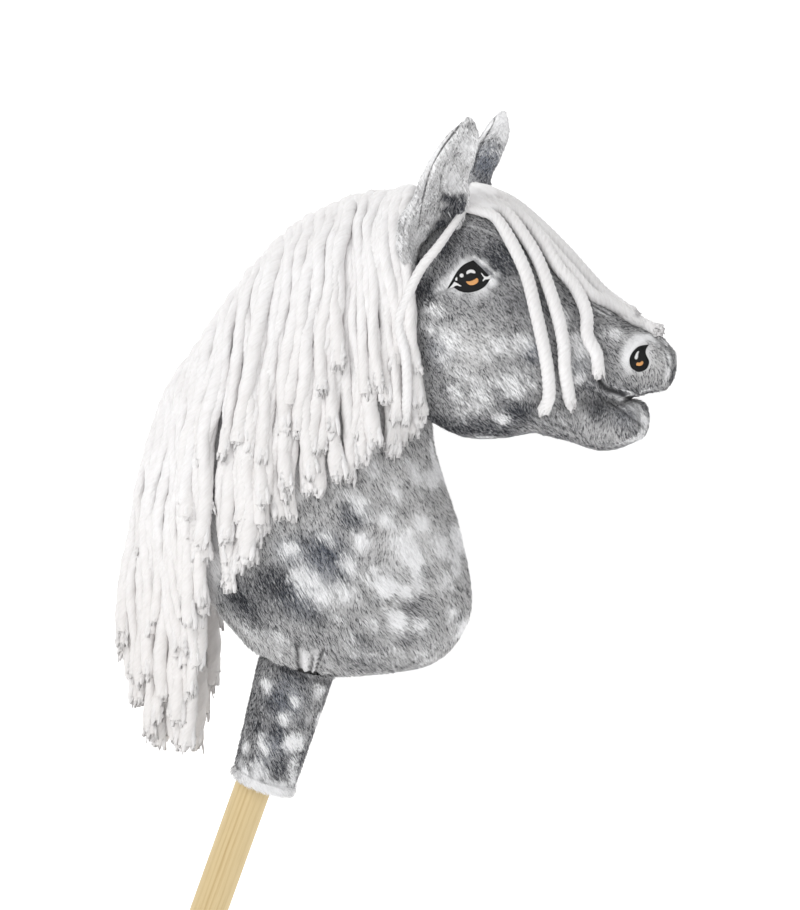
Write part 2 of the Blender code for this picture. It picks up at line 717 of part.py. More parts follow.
def add_strand(name, points, material, parent):
    curve = bpy.data.curves.new(name, "CURVE")
    curve.dimensions = "3D"
    curve.bevel_depth = STRAND_DIAMETER / 2.0
    curve.bevel_resolution = 1
    curve.use_fill_caps = True
    spline = curve.splines.new("POLY")
    spline.points.add(len(points) - 1)
    for target, point in zip(spline.points, points):
        target.co = (*point, 1.0)
    curve.materials.append(material)
    strand = bpy.data.objects.new(name, curve)
    bpy.context.scene.collection.objects.link(strand)
    strand.parent = parent


def root_turn(head, number):
    # The turn round the head at which the strand of this number lies beside the ones before it.
    half = head.section(FORELOCK_TAPE_PLACE)[2]
    aside = (number - 0.5) * (STRAND_DIAMETER + CLEARANCE * 2.0)
    return math.asin((aside / half) ** (SQUARENESS / 2.0))


def build_forelock(head, head_cutter, head_tape_skin, parent):
    # The strands run forward over the forehead and fall over the face to both sides.
    yarn = make_material("forelock_yarn", (0.86, 0.86, 0.85), 0.9)
    cotton = make_material("forelock_tape_cotton", (0.80, 0.80, 0.78), 0.9)
    half = FORELOCK_TAPE_WIDTH / 2.0
    count = len(FORELOCK_STRANDS)
    strip = poll_strip("forelock_tape", head, half, root_turn(head, count))
    tape = add_piece("forelock_tape", strip, cotton, parent)
    cut(tape, head_tape_skin, operation="INTERSECT")
    cut(tape, head_cutter)
    for side, word in ((-1.0, "right"), (1.0, "left")):
        for number, (end, end_degrees, power) in enumerate(FORELOCK_STRANDS, 1):
            start = FORELOCK_TAPE_PLACE + FORELOCK_TAPE_BOW * ((number - 0.5) / (count - 0.5)) ** 2
            front = start + half / HEAD_LENGTH
            first = root_turn(head, number)
            last = math.radians(end_degrees)
            points = []
            for k in range(STRAND_POINTS):
                t = k / (STRAND_POINTS - 1)
                share = start + (end - start) * t
                turn = first + (last - first) * t ** power
                settled = min(max(share - front, 0.0) / STRAND_SETTLING, 1.0)
                over_tape = (TAPE_THICKNESS + CLEARANCE) * (1.0 - settled)
                lift = STRAND_DIAMETER / 2.0 + CLEARANCE + over_tape
                points.append(head.lifted(share, side * turn, lift))
            add_strand(f"forelock_{word}_{number}", points, yarn, parent)


def main():
    clear_scene()
    root = bpy.data.objects.new("hobby_horse", None)
    bpy.context.scene.collection.objects.link(root)

    neck = neck_form()
    head = head_form(neck)
    jaw = jaw_form(head)
    neck_body = neck_mesh(neck)
    head_body = domed_mesh("head", head, MUZZLE_ROUNDING)
    neck_cutter = add_cutter("neck_room", neck_body, CLEARANCE, root)
    head_cutter = add_cutter("head_room", head_body, CLEARANCE, root)
    neck_skin = add_cutter("neck_tape_skin", neck_body, CLEARANCE + TAPE_THICKNESS, root)
    over_tape = add_cutter("neck_over_tape", neck_body, TAPE_THICKNESS + CLEARANCE * 2.0, root)
    head_skin = add_cutter("head_patch_skin", head_body, CLEARANCE + PATCH_THICKNESS, root)
    head_tape_skin = add_cutter("head_tape_skin", head_body, CLEARANCE + TAPE_THICKNESS, root)

    build_stick(root)
    build_neck(neck_body.copy(), root)
    build_head(head_body.copy(), neck_cutter, root)
    build_jaw(jaw, head_cutter, root)
    build_ears(neck, head_cutter, neck_cutter, root)
    build_sleeve(neck_cutter, root)
    build_tie(root)
    build_patches(head, head_cutter, head_skin, root)
    tape_cutter = build_tape(neck, neck_cutter, neck_skin, over_tape, root)
    trees = []
    for body in (neck_body, head_body):
        bm = bmesh.new()
        bm.from_mesh(body)
        trees.append(BVHTree.FromBMesh(bm))
        bm.free()
    build_mane(neck, trees, (neck_cutter, head_cutter, tape_cutter), root)
    build_forelock(head, head_cutter, head_tape_skin, root)


main()
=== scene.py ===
# Hobby horse: the looks of a dapple-grey plush horse with a white yarn mane on a pine stick.
# Metres, +Z up, +X the way the horse faces. The camera looks at its right side, which is -Y.

import math
import random

import bmesh
import bpy
import numpy as np
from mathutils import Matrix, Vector
from mathutils.bvhtree import BVHTree
from mathutils.geometry import delaunay_2d_cdt


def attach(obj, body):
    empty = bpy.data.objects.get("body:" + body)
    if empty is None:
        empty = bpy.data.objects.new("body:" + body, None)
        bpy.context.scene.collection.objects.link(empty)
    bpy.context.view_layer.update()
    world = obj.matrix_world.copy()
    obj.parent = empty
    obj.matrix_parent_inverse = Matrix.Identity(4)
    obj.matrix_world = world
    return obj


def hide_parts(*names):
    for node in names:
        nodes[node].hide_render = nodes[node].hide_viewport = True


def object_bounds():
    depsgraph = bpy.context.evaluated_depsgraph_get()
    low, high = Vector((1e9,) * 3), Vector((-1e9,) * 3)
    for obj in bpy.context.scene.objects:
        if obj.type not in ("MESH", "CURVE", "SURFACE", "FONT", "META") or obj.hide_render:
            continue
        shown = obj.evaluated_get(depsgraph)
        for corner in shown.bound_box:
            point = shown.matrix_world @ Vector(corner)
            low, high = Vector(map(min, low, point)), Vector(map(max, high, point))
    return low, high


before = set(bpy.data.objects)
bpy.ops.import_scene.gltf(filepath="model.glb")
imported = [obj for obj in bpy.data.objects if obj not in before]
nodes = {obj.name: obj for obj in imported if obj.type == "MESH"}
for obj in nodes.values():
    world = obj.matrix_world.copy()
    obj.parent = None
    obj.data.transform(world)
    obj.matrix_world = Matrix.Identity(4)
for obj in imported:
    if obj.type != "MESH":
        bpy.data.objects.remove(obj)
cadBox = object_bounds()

imageSize = (800, 910)
print("frame loaded:", len(nodes), "nodes")


# Camera, and the way from a pixel of the picture to the surface of the toy

camera = {
    "target": Vector((0.2788, 0.0, 0.7137)),
    "distance": 2.7,
    "azimuth": math.radians(12.0),
    "elevation": math.radians(5.2),
    "frameHeight": 0.6115,
    "sensor": 36.0,
}
pixelSize = camera["frameHeight"] / imageSize[1]  # at the toy's middle plane
sightScale = camera["frameHeight"] / camera["distance"] / imageSize[1]


def cameraAxes():
    az, el = camera["azimuth"], camera["elevation"]
    back = Vector((math.sin(az) * math.cos(el), -math.cos(az) * math.cos(el), math.sin(el)))
    right = Vector((math.cos(az), math.sin(az), 0.0))
    return camera["target"] + back * camera["distance"], right, back.cross(right), -back


eyePoint, toRight, upwards, ahead = cameraAxes()


def makeCamera():
    data = bpy.data.cameras.new("camera")
    data.sensor_width = camera["sensor"]
    data.lens = camera["sensor"] * camera["distance"] / camera["frameHeight"]
    data.clip_start, data.clip_end = 0.05, 30.0
    item = bpy.data.objects.new("camera", data)
    bpy.context.scene.collection.objects.link(item)
    aim(item, eyePoint, ahead)
    bpy.context.scene.camera = item


def aim(item, place, way):
    item.location = place
    item.rotation_mode = "QUATERNION"
    item.rotation_quaternion = way.to_track_quat("-Z", "Y")


def pixelRay(px, py):
    # The direction of the line of sight through a pixel.
    across, down = px - imageSize[0] / 2, imageSize[1] / 2 - py
    return (ahead + toRight * across * sightScale + upwards * down * sightScale).normalized()


def planePoint(px, py, side):
    # Where a line of sight meets the plane at one side of the toy.
    way = pixelRay(px, py)
    return eyePoint + way * ((side - eyePoint.y) / way.y)


def spot(tree, px, py, side=-0.02):
    # Where a pixel lies on a surface, or the nearest place on it where the sight line passes by.
    hit = tree.ray_cast(eyePoint, pixelRay(px, py))
    if hit[0] is not None:
        return hit[0], hit[1]
    near = tree.find_nearest(planePoint(px, py, side))
    return near[0], near[1]


makeCamera()


# Small tools

def softNoise(points, size, seed=0):
    # Smooth random values from -1 to 1, one for each point, that vary over the given size.
    place = np.asarray(points, float) / size + 31.7 * (seed + 1)
    cell = np.floor(place).astype(np.int64)
    part = place - cell
    part = part * part * (3.0 - 2.0 * part)
    total = np.zeros(len(place))
    for corner in range(8):
        step = np.array((corner & 1, corner >> 1 & 1, corner >> 2 & 1))
        mixed = (cell + step) @ np.array((73856093, 19349663, 83492791))  # large primes scatter the cells
        mixed = (mixed ^ (mixed >> 13)) * 1274126177 & 0x7FFFFFFF
        value = ((mixed ^ (mixed >> 15)) & 0xFFFF) / 32767.5 - 1.0
        total += value * np.prod(np.where(step, part, 1.0 - part), axis=1)
    return total


def smoothStep(low, high, value):
    share = np.clip((value - low) / (high - low), 0.0, 1.0)
    return share * share * (3.0 - 2.0 * share)


def lengthAlong(path):
    # How far along the path each of its points lies.
    return np.concatenate(([0.0], np.cumsum(np.linalg.norm(np.diff(path, axis=0), axis=1))))


def pathAt(path, reach, wanted):
    return np.stack([np.interp(wanted, reach, path[:, k]) for k in range(3)], axis=1)


def curveThrough(points, step):
    # Evenly spaced points on a smooth curve through the given ones.
    points = [np.array(point, float) for point in points]
    fine = []
    for i in range(len(points) - 1):
        before, start, end, after = (points[min(max(i + k, 0), len(points) - 1)] for k in (-1, 0, 1, 2))
        for t in np.linspace(0.0, 1.0, 12, endpoint=False):
            bend = 2.0 * before - 5.0 * start + 4.0 * end - after
            twist = 3.0 * (start - end) + after - before
            fine.append(0.5 * (2.0 * start + (end - before) * t + bend * t * t + twist * t ** 3))
    fine = np.array(fine + [points[-1]])
    reach = lengthAlong(fine)
    count = max(2, int(round(reach[-1] / step)) + 1)
    return pathAt(fine, reach, np.linspace(0.0, reach[-1], count))


def readVectors(source, name, count):
    values = np.empty(count * 3, np.float32)
    source.foreach_get(name, values)
    return values.reshape(-1, 3)


def pointsOf(mesh):
    return readVectors(mesh.vertices, "co", len(mesh.vertices)).astype(float)


def normalsOf(mesh):
    return readVectors(mesh.vertex_normals, "vector", len(mesh.vertices)).astype(float)


def setPoints(mesh, points):
    mesh.vertices.foreach_set("co", np.asarray(points, np.float32).ravel())
    mesh.update()


def setValues(mesh, name, values):
    # A value or a vector for each point, which the materials read.
    values = np.asarray(values, np.float32)
    kind, key = ("FLOAT", "value") if values.ndim == 1 else ("FLOAT_VECTOR", "vector")
    mesh.attributes.new(name, kind, "POINT").data.foreach_set(key, values.ravel())


def nearSide(points):
    # The toy is the same on both sides, so every point is taken over to the side in view.
    folded = np.array(points, float)
    folded[:, 1] = -np.abs(folded[:, 1])
    return folded


def treeOf(*meshes):
    bm = bmesh.new()
    for mesh in meshes:
        bm.from_mesh(mesh)
    tree = BVHTree.FromBMesh(bm)
    bm.free()
    return tree


def nodesTree(*names):
    return treeOf(*[nodes[name].data for name in names])


def foldedTree(mesh):
    # The surface with its far half laid over to the side in view.
    corners = [tuple(point) for point in nearSide(pointsOf(mesh))]
    return BVHTree.FromPolygons(corners, [tuple(face.vertices) for face in mesh.polygons])


def closedMesh(name, verts, faces):
    # A closed shell whose faces all point outwards.
    mesh = bpy.data.meshes.new(name)
    mesh.from_pydata(verts, [], faces)
    bm = bmesh.new()
    bm.from_mesh(mesh)
    bmesh.ops.recalc_face_normals(bm, faces=bm.faces)
    bm.to_mesh(mesh)
    bm.free()
    mesh.shade_smooth()
    return mesh


def addObject(name, mesh, material=None):
    item = bpy.data.objects.new(name, mesh)
    bpy.context.scene.collection.objects.link(item)
    if material is not None:
        mesh.materials.clear()
        mesh.materials.append(material)
    return item


def evaluated(item, name):
    # The object as its modifiers leave it, as a plain mesh.
    bpy.context.view_layer.update()
    view = bpy.context.evaluated_depsgraph_get()
    made = bpy.data.meshes.new_from_object(item.evaluated_get(view), depsgraph=view)
    made.name = name
    return made


def removeObject(item):
    mesh = item.data
    bpy.data.objects.remove(item)
    bpy.data.meshes.remove(mesh)


def finishPiece(item, slotName, *stoodFor):
    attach(item, "root")
    if stoodFor:
        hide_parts(*stoodFor)


# Building node trees

def feed(tree, socket, value):
    if isinstance(value, bpy.types.NodeSocket):
        tree.links.new(value, socket)
    else:
        socket.default_value = value


def addNode(tree, kind, settings=None, **inputs):
    # Inputs are given by the socket's name with _ for a space, as values or as sockets to link.
    node = tree.nodes.new(kind)
    for key, value in (settings or {}).items():
        setattr(node, key, value)
    for key, value in inputs.items():
        wanted = key.replace("_", " ")
        socket = next(s for s in node.inputs if s.name == wanted and s.enabled and not s.is_linked)
        feed(tree, socket, value)
    return node


def result(tree, kind, settings=None, **inputs):
    return addNode(tree, kind, settings, **inputs).outputs[0]


def calc(tree, operation, *values, kind="ShaderNodeMath"):
    node = tree.nodes.new(kind)
    node.operation = operation
    for socket, value in zip(node.inputs, values):
        feed(tree, socket, value)
    return node.outputs[0]


def vectorCalc(tree, operation, *values):
    return calc(tree, operation, *values, kind="ShaderNodeVectorMath")


def partsOf(tree, vector):
    return addNode(tree, "ShaderNodeSeparateXYZ", Vector=vector).outputs


def vectorOf(tree, x, y, z):
    return result(tree, "ShaderNodeCombineXYZ", X=x, Y=y, Z=z)


def turned(tree, vector, axis, angle):
    settings = {"rotation_type": f"{axis}_AXIS"}
    return result(tree, "ShaderNodeVectorRotate", settings, Vector=vector, Angle=angle)


def between(tree, value, low, high, start=0.0, end=1.0):
    # A value's place between low and high, given as a place between start and end.
    ends = {"From_Min": low, "From_Max": high, "To_Min": start, "To_Max": end}
    return result(tree, "ShaderNodeMapRange", Value=value, **ends)


def newGroup(name, kind, inputs, outputs):
    # Inputs are (label, kind of socket, value), outputs (label, kind of socket).
    group = bpy.data.node_groups.new(name, kind)
    for label, socketKind, value in inputs:
        socket = group.interface.new_socket(label, in_out="INPUT", socket_type=f"NodeSocket{socketKind}")
        if value is not None:
            socket.default_value = value
    for label, socketKind in outputs:
        group.interface.new_socket(label, in_out="OUTPUT", socket_type=f"NodeSocket{socketKind}")
    return group, group.nodes.new("NodeGroupInput").outputs, group.nodes.new("NodeGroupOutput").inputs


def geometryTree(name, inputs):
    given = [("Geometry", "Geometry", None), *inputs]
    return newGroup(name, "GeometryNodeTree", given, [("Geometry", "Geometry")])


def closeTree(tree, geometry, material, out):
    real = result(tree, "GeometryNodeRealizeInstances", Geometry=geometry)
    tree.links.new(result(tree, "GeometryNodeSetMaterial", Geometry=real, Material=material), out["Geometry"])


def namedValue(tree, name, kind="FLOAT"):
    node = addNode(tree, "GeometryNodeInputNamedAttribute", {"data_type": kind}, Name=name)
    return node.outputs["Attribute"]


def storeValue(tree, geometry, name, value, domain, kind):
    return result(
        tree, "GeometryNodeStoreNamedAttribute", {"data_type": kind, "domain": domain},
        Geometry=geometry, Name=name, Value=value,
    )


def randomValue(tree, low, high, seed):
    settings = {"data_type": "FLOAT"}
    return addNode(tree, "FunctionNodeRandomValue", settings, Min=low, Max=high, Seed=seed).outputs[1]


def grown(item, tree, values, name):
    # Runs a geometry tree on an object and returns the plain mesh that it makes.
    modifier = item.modifiers.new(tree.name, "NODES")
    modifier.node_group = tree
    for socket in tree.interface.items_tree:
        if socket.in_out == "INPUT" and socket.name in values:
            modifier[socket.identifier] = values[socket.name]
    made = evaluated(item, name)
    item.modifiers.remove(modifier)
    return made


# Materials

def tint(red, green=None, blue=None):
    # A picture colour from 0 to 255 as linear light; one number alone is a grey.
    values = (red, red if green is None else green, red if blue is None else blue)
    return (*[((v / 255.0 + 0.055) / 1.055) ** 2.4 for v in values], 1.0)


def newMaterial(name, **values):
    # The shader's values are given by its sockets' names with _ for a space.
    material = bpy.data.materials.new(name)
    material.use_nodes = True
    sockets = material.node_tree.nodes["Principled BSDF"].inputs
    for key, value in values.items():
        sockets[key.replace("_", " ")].default_value = value
    return material, material.node_tree, sockets


def closeMaterial(tree, sockets, colour, height=None, **bumpValues):
    tree.links.new(colour, sockets["Base Color"])
    if height is not None:
        tree.links.new(result(tree, "ShaderNodeBump", Height=height, **bumpValues), sockets["Normal"])


def shaderGroup(name, inputs, outputs):
    return newGroup(name, "ShaderNodeTree", inputs, outputs)


def useGroup(tree, group, **inputs):
    node = tree.nodes.new("ShaderNodeGroup")
    node.node_tree = group
    for key, value in inputs.items():
        feed(tree, node.inputs[key], value)
    return node.outputs


def readValue(tree, name, output="Fac"):
    node = tree.nodes.new("ShaderNodeAttribute")
    node.attribute_name = name
    return node.outputs[output]


def objectPlace(tree):
    return tree.nodes.new("ShaderNodeTexCoord").outputs["Object"]


def noise(tree, place, scale, detail, roughness=0.5):
    return result(tree, "ShaderNodeTexNoise", Vector=place, Scale=scale, Detail=detail, Roughness=roughness)


def mixValue(tree, share, first, second):
    return result(tree, "ShaderNodeMix", {"data_type": "FLOAT"}, Factor=share, A=first, B=second)


def mixColour(tree, share, first, second):
    node = tree.nodes.new("ShaderNodeMix")
    node.data_type = "RGBA"
    for number, value in ((0, share), (6, first), (7, second)):
        feed(tree, node.inputs[number], value)
    return node.outputs[2]


# The printed coat

coatLook = {
    "mid": tint(224, 223, 223),
    "deep": tint(76, 78, 84),
    "cool": tint(108, 117, 134),
    "light": tint(252, 252, 253),
    "white": tint(243, 243, 244),
    "mark": tint(44, 45, 50),
    "paleMark": tint(222, 222, 223),
    # Dark seams, and painted shade in creases, folds and wrinkles, laid along the dark lines.
    "seam": tint(40, 40, 42),
    # Which way the hairs lie in the side view, in degrees.
    "steep": -62.0,
    "shallow": -38.0,
    "backward": 72.0,
    # Length and width of printed hairs, and the scale, detail and roughness of the clouds between them.
    "longHairs": (0.0100, 0.0009),
    "shortHairs": (0.0042, 0.0005),
    "clouds": (110.0, 4.0, 0.62),
    # How strongly streaks and clouds feather a dapple, what levels them out, and where its edge lies then.
    "feather": (3.0, 0.9, -1.95),
    "dappleEdge": (0.12, 0.78),
    # Between which values of the streaks the marks of the ground and the shades of the hairs fade in.
    "longMarks": (0.55, 0.64),
    "shortMarks": (0.54, 0.66),
    "paleMarks": (0.44, 0.3),
    "darkHairs": (0.62, 0.92),
    "paleHairs": (0.36, 0.0),
}


def streakGroup():
    # Noise that is drawn out along one direction of the side view, as hairs that lie one way.
    group, given, out = shaderGroup(
        "hairStreaks",
        [("Turn", "Float", 1.0), ("Length", "Float", 0.012), ("Width", "Float", 0.0012)],
        [("Streak", "Float")],
    )
    parts = partsOf(group, turned(group, objectPlace(group), "Y", given["Turn"]))
    along = calc(group, "DIVIDE", parts["X"], given["Length"])
    across = calc(group, "DIVIDE", parts["Z"], given["Width"])
    deep = calc(group, "MULTIPLY", calc(group, "DIVIDE", parts["Y"], given["Width"]), 0.5)
    group.links.new(noise(group, vectorOf(group, along, across, deep), 1.0, 2.0, 0.6), out["Streak"])
    return group


hairStreaks = streakGroup()


def layNoise(tree, lay, lift, size):
    # Streaks that follow the nap: steep, shallow or leaning back.
    length, width = size
    runs = []
    for word in ("steep", "shallow", "backward"):
        angle = math.radians(coatLook[word])
        runs.append(useGroup(tree, hairStreaks, Turn=angle, Length=length, Width=width)["Streak"])
    return mixValue(tree, lift, mixValue(tree, lay, runs[0], runs[1]), runs[2])


def groundGroup():
    # Grey ground, darker where tone and painted shade ask for it, with bluish patches and pale dapples that
    # are feathered along the nap.
    group, given, out = shaderGroup(
        "dappledGround",
        [(label, "Float", 0.0) for label in ("Tone", "Cool", "Dapple", "Lay", "Lift")],
        [("Colour", "Color"), ("Plain", "Float"), ("Streaks", "Float"), ("Cloud", "Float")],
    )
    cloud = noise(group, objectPlace(group), *coatLook["clouds"])
    streaks = layNoise(group, given["Lay"], given["Lift"], coatLook["longHairs"])
    ground = mixColour(group, given["Tone"], coatLook["deep"], coatLook["mid"])
    ground = mixColour(group, given["Cool"], ground, coatLook["cool"])
    streaky, cloudy, level = coatLook["feather"]
    clouded = calc(group, "MULTIPLY_ADD", cloud, cloudy, level)
    feathered = calc(group, "MULTIPLY_ADD", streaks, streaky, clouded)
    dappled = between(group, calc(group, "ADD", given["Dapple"], feathered), *coatLook["dappleEdge"])
    group.links.new(mixColour(group, dappled, ground, coatLook["light"]), out["Colour"])
    group.links.new(calc(group, "SUBTRACT", 1.0, calc(group, "MULTIPLY", dappled, 0.85)), out["Plain"])
    group.links.new(streaks, out["Streaks"])
    group.links.new(cloud, out["Cloud"])
    return group


dappledGround = groundGroup()


def coatMaterial(name, isPile):
    # Short printed plush: the dappled ground, with dark and pale marks that lie along the pile.
    material, tree, sockets = newMaterial(
        name, Roughness=0.95, Sheen_Weight=0.15, Sheen_Roughness=0.5, Specular_IOR_Level=0.05
    )
    read = {word: readValue(tree, word) for word in ("toneAndShade", "cool", "dapple", "lay", "lift", "halo", "seam")}
    ground = useGroup(
        tree, dappledGround,
        Tone=read["toneAndShade"], Cool=read["cool"], Dapple=read["dapple"], Lay=read["lay"], Lift=read["lift"],
    )
    dim = calc(tree, "SUBTRACT", 1.0, read["toneAndShade"])
    if isPile:
        own = calc(tree, "ADD", readValue(tree, "hairShade"), -0.8)
        shade = calc(tree, "MULTIPLY_ADD", ground["Streaks"], 1.6, own)
        dark = between(tree, calc(tree, "MULTIPLY_ADD", dim, 0.3, shade), *coatLook["darkHairs"])
        pale = between(tree, shade, *coatLook["paleHairs"])
    else:
        short = layNoise(tree, read["lay"], read["lift"], coatLook["shortHairs"])
        thin = calc(tree, "MULTIPLY", between(tree, short, *coatLook["shortMarks"]), 0.7)
        marks = calc(tree, "MAXIMUM", between(tree, ground["Streaks"], *coatLook["longMarks"]), thin)
        dark = calc(tree, "MULTIPLY", marks, calc(tree, "MULTIPLY_ADD", dim, 0.4, 0.6))
        pale = between(tree, short, *coatLook["paleMarks"])
    colour = mixColour(tree, calc(tree, "MULTIPLY", pale, 0.5), ground["Colour"], coatLook["paleMark"])
    colour = mixColour(tree, calc(tree, "MULTIPLY", dark, ground["Plain"]), colour, coatLook["mark"])
    colour = mixColour(tree, read["halo"], colour, coatLook["white"])
    # Dark seams, and painted shade in creases and folds.
    colour = mixColour(tree, read["seam"], colour, coatLook["seam"])
    closeMaterial(tree, sockets, colour, None if isPile else ground["Cloud"], Strength=0.35, Distance=0.0006)
    return material


coat = coatMaterial("dapplePlush", False)
pile = coatMaterial("dapplePile", True)


# Stuffed skins: the solids of the frame as one smooth cloth surface, then modelled at listed places

def smoothSkin(name, nodeNames, voxel, rounds, growth):
    bm = bmesh.new()
    for nodeName in nodeNames:
        part = bmesh.new()
        part.from_mesh(nodes[nodeName].data)
        bmesh.ops.remove_doubles(part, verts=part.verts, dist=1e-6)
        part.normal_update()
        for vert in part.verts:
            vert.co += vert.normal * growth
        mesh = bpy.data.meshes.new("part")
        part.to_mesh(mesh)
        part.free()
        bm.from_mesh(mesh)
        bpy.data.meshes.remove(mesh)
    mesh = bpy.data.meshes.new("joined")
    bm.to_mesh(mesh)
    bm.free()
    item = addObject("joined", mesh)
    remesh = item.modifiers.new("cloth", "REMESH")
    remesh.mode = "VOXEL"
    remesh.voxel_size = voxel
    smooth = item.modifiers.new("stuffing", "SMOOTH")
    smooth.factor = 0.5
    smooth.iterations = rounds
    made = evaluated(item, name)
    removeObject(item)
    made.shade_smooth()
    return made


# The size of a cloth's mesh, how often it is smoothed, and how far it starts out over its solid.
neckCloth = {"voxel": 0.0018, "rounds": 90, "growth": 0.0004}
headCloth = {"voxel": 0.0013, "rounds": 18, "growth": 0.0}
neckSkin = smoothSkin("neck_plush", ["neck"], **neckCloth)
headSkin = smoothSkin("head_plush", ["head", "lower_jaw", "mouth_lining"], **headCloth)
print("skins:", len(neckSkin.vertices), len(headSkin.vertices))


def distanceTo(points, path):
    # Least distance of each point from a run of points.
    best = np.full(len(points), 1e9)
    for stop in path:
        best = np.minimum(best, np.einsum("ij,ij->i", points - stop, points - stop))
    return np.sqrt(best)


def surfacePath(tree, pixels):
    seen = curveThrough([(px, py, 0.0) for px, py in pixels], 5.0)
    return curveThrough([spot(tree, px, py)[0] for px, py, _ in seen], 0.0012)


def alongLines(points, tree, lines):
    # Soft lines on a surface; each is (pixels that it passes, half its width in pixels, amount).
    total = np.zeros(len(points))
    for pixels, wide, amount in lines:
        share = np.exp(-(distanceTo(points, surfacePath(tree, pixels)) / (wide * pixelSize)) ** 2)
        total += amount * share
    return total


def spotsOf(points, tree, spots, inner=0.0):
    # The sum of soft round spots; each is (px, py, radius in pixels, amount).
    total = np.zeros(len(points))
    for px, py, radius, amount in spots:
        centre = np.array(spot(tree, px, py)[0])
        away = np.linalg.norm(points - centre, axis=1) / (radius * pixelSize)
        total += amount * (1.0 - smoothStep(inner, 1.0, away))
    return total


# Folds, seams and hollows of the stuffed forms: how far the cloth is drawn in there, in millimetres.
neckForm = {
    "lines": [
        ([(262, 661), (285, 668), (310, 675), (338, 680)], 5.0, 4.0),
        ([(297, 644), (300, 660), (301, 675)], 2.0, 2.2),
        ([(311, 655), (310, 668), (309, 677)], 1.6, 2.4),
        ([(324, 646), (319, 662), (314, 678)], 2.2, 2.2),
        ([(304, 652), (305, 670)], 3.0, -1.4),
        ([(317, 656), (313, 672)], 2.4, -1.2),
        ([(340, 664), (330, 676)], 2.2, 1.4),
        ([(276, 640), (283, 655), (286, 668)], 2.6, 1.2),
        ([(429, 462), (440, 490), (452, 520), (461, 552), (464, 590), (459, 625), (436, 652),
          (400, 664)], 1.6, -0.9),
        ([(433, 462), (444, 490), (456, 520), (465, 552), (468, 590), (463, 627), (439, 656),
          (400, 669)], 1.4, 0.7),
    ],
    "hollows": [(330, 560, 40, 1.5), (300, 520, 40, 1.0)],
    "moves": [],
}
headForm = {
    "lines": [
        ([(452, 287), (440, 292), (430, 298), (427, 304)], 2.0, 1.0),
        ([(588, 303), (604, 313), (619, 321), (640, 330), (661, 337)], 1.6, 0.9),
        ([(665, 354), (668, 362), (672, 373)], 1.6, 1.0),
        ([(594, 372), (600, 382), (607, 389), (617, 392), (626, 396), (637, 401)], 3.2, 2.6),
        ([(536, 417), (564, 429), (586, 436), (598, 440), (613, 439), (635, 429)], 1.6, 0.9),
        ([(594, 390), (605, 399), (616, 406), (627, 414), (641, 424)], 1.5, 1.0),
        ([(455, 223), (476, 229), (496, 237), (506, 247)], 1.8, 0.9),
        ([(474, 257), (484, 264), (493, 273)], 1.8, -1.0),
    ],
    "hollows": [(470, 278, 24, 2.0), (462, 252, 16, -1.4), (640, 358, 12, 1.2), (630, 338, 12, -1.0),
                (575, 350, 34, 1.4), (545, 400, 20, 1.2), (486, 345, 34, -1.5), (677, 362, 26, 3.0),
                (606, 450, 34, 1.4), (640, 407, 11, -2.0)],
    # Pixels, radius in pixels, and how far the form is moved ahead, outwards and up there, in millimetres.
    "moves": [(612, 444, 80, (-0.6, 0.0, 2.6)), (560, 432, 60, (0.0, 0.0, 2.4)),
              (676, 360, 80, (-4.2, 0.0, 0.0)), (668, 390, 52, (0.0, 0.0, 3.6)),
              (644, 415, 31, (-1.6, 0.0, 4.2)), (664, 349, 46, (2.6, 0.0, 2.0))],
}


def modelForm(mesh, form, tree):
    points = pointsOf(mesh)
    near = nearSide(points)
    depth = alongLines(near, tree, form["lines"]) + spotsOf(near, tree, form["hollows"])
    points -= normalsOf(mesh) * (depth * 0.001)[:, None]
    for px, py, radius, (forward, outward, up) in form["moves"]:
        share = spotsOf(near, tree, [(px, py, radius, 0.001)], 0.25)
        sideways = np.where(points[:, 1] > 0.0, outward, -outward)
        move = np.stack((np.full(len(points), forward), sideways, np.full(len(points), up)), axis=1)
        points += share[:, None] * move
    setPoints(mesh, points)


# The crest is drawn in a little where the yarn is sewn on, and stands full again further back. Turns are in
# degrees round a centre inside the neck.
crestLook = {
    "centre": Vector((0.25, 0.0, 0.72)),
    "drawnIn": 0.0075,
    "front": (74.0, 80.0),
    "full": (96.0, 128.0),
    "halfWidth": (0.012, 0.045),
}


def drawCrestIn(mesh):
    points = pointsOf(mesh)
    away = points - np.array(crestLook["centre"])
    turn = np.degrees(np.arctan2(away[:, 2], away[:, 0]))
    far = np.hypot(away[:, 0], away[:, 2])
    share = smoothStep(*crestLook["front"], turn) * (1.0 - smoothStep(*crestLook["full"], turn))
    share *= (1.0 - smoothStep(*crestLook["halfWidth"], np.abs(points[:, 1]))) * smoothStep(0.08, 0.15, far)
    points[:, [0, 2]] -= away[:, [0, 2]] / far[:, None] * (share * crestLook["drawnIn"])[:, None]
    setPoints(mesh, points)


modelForm(neckSkin, neckForm, treeOf(neckSkin))
modelForm(headSkin, headForm, treeOf(headSkin))
drawCrestIn(neckSkin)
headTree = treeOf(headSkin)
neckTree = treeOf(neckSkin)


# How the print is laid on a skin

paintLook = {
    # Noise that makes the dapples uneven, as (size, seed, amount), and how much of it they take.
    "wobble": ((0.011, 3, 0.6), (0.005, 4, 0.4)),
    "uneven": 0.75,
    # A dapple is longer along the nap than across it, and is gone at this many times its radius.
    "longer": 1.25,
    "narrower": 1.2,
    "goneAt": 1.6,
    "grain": 0.14,
}


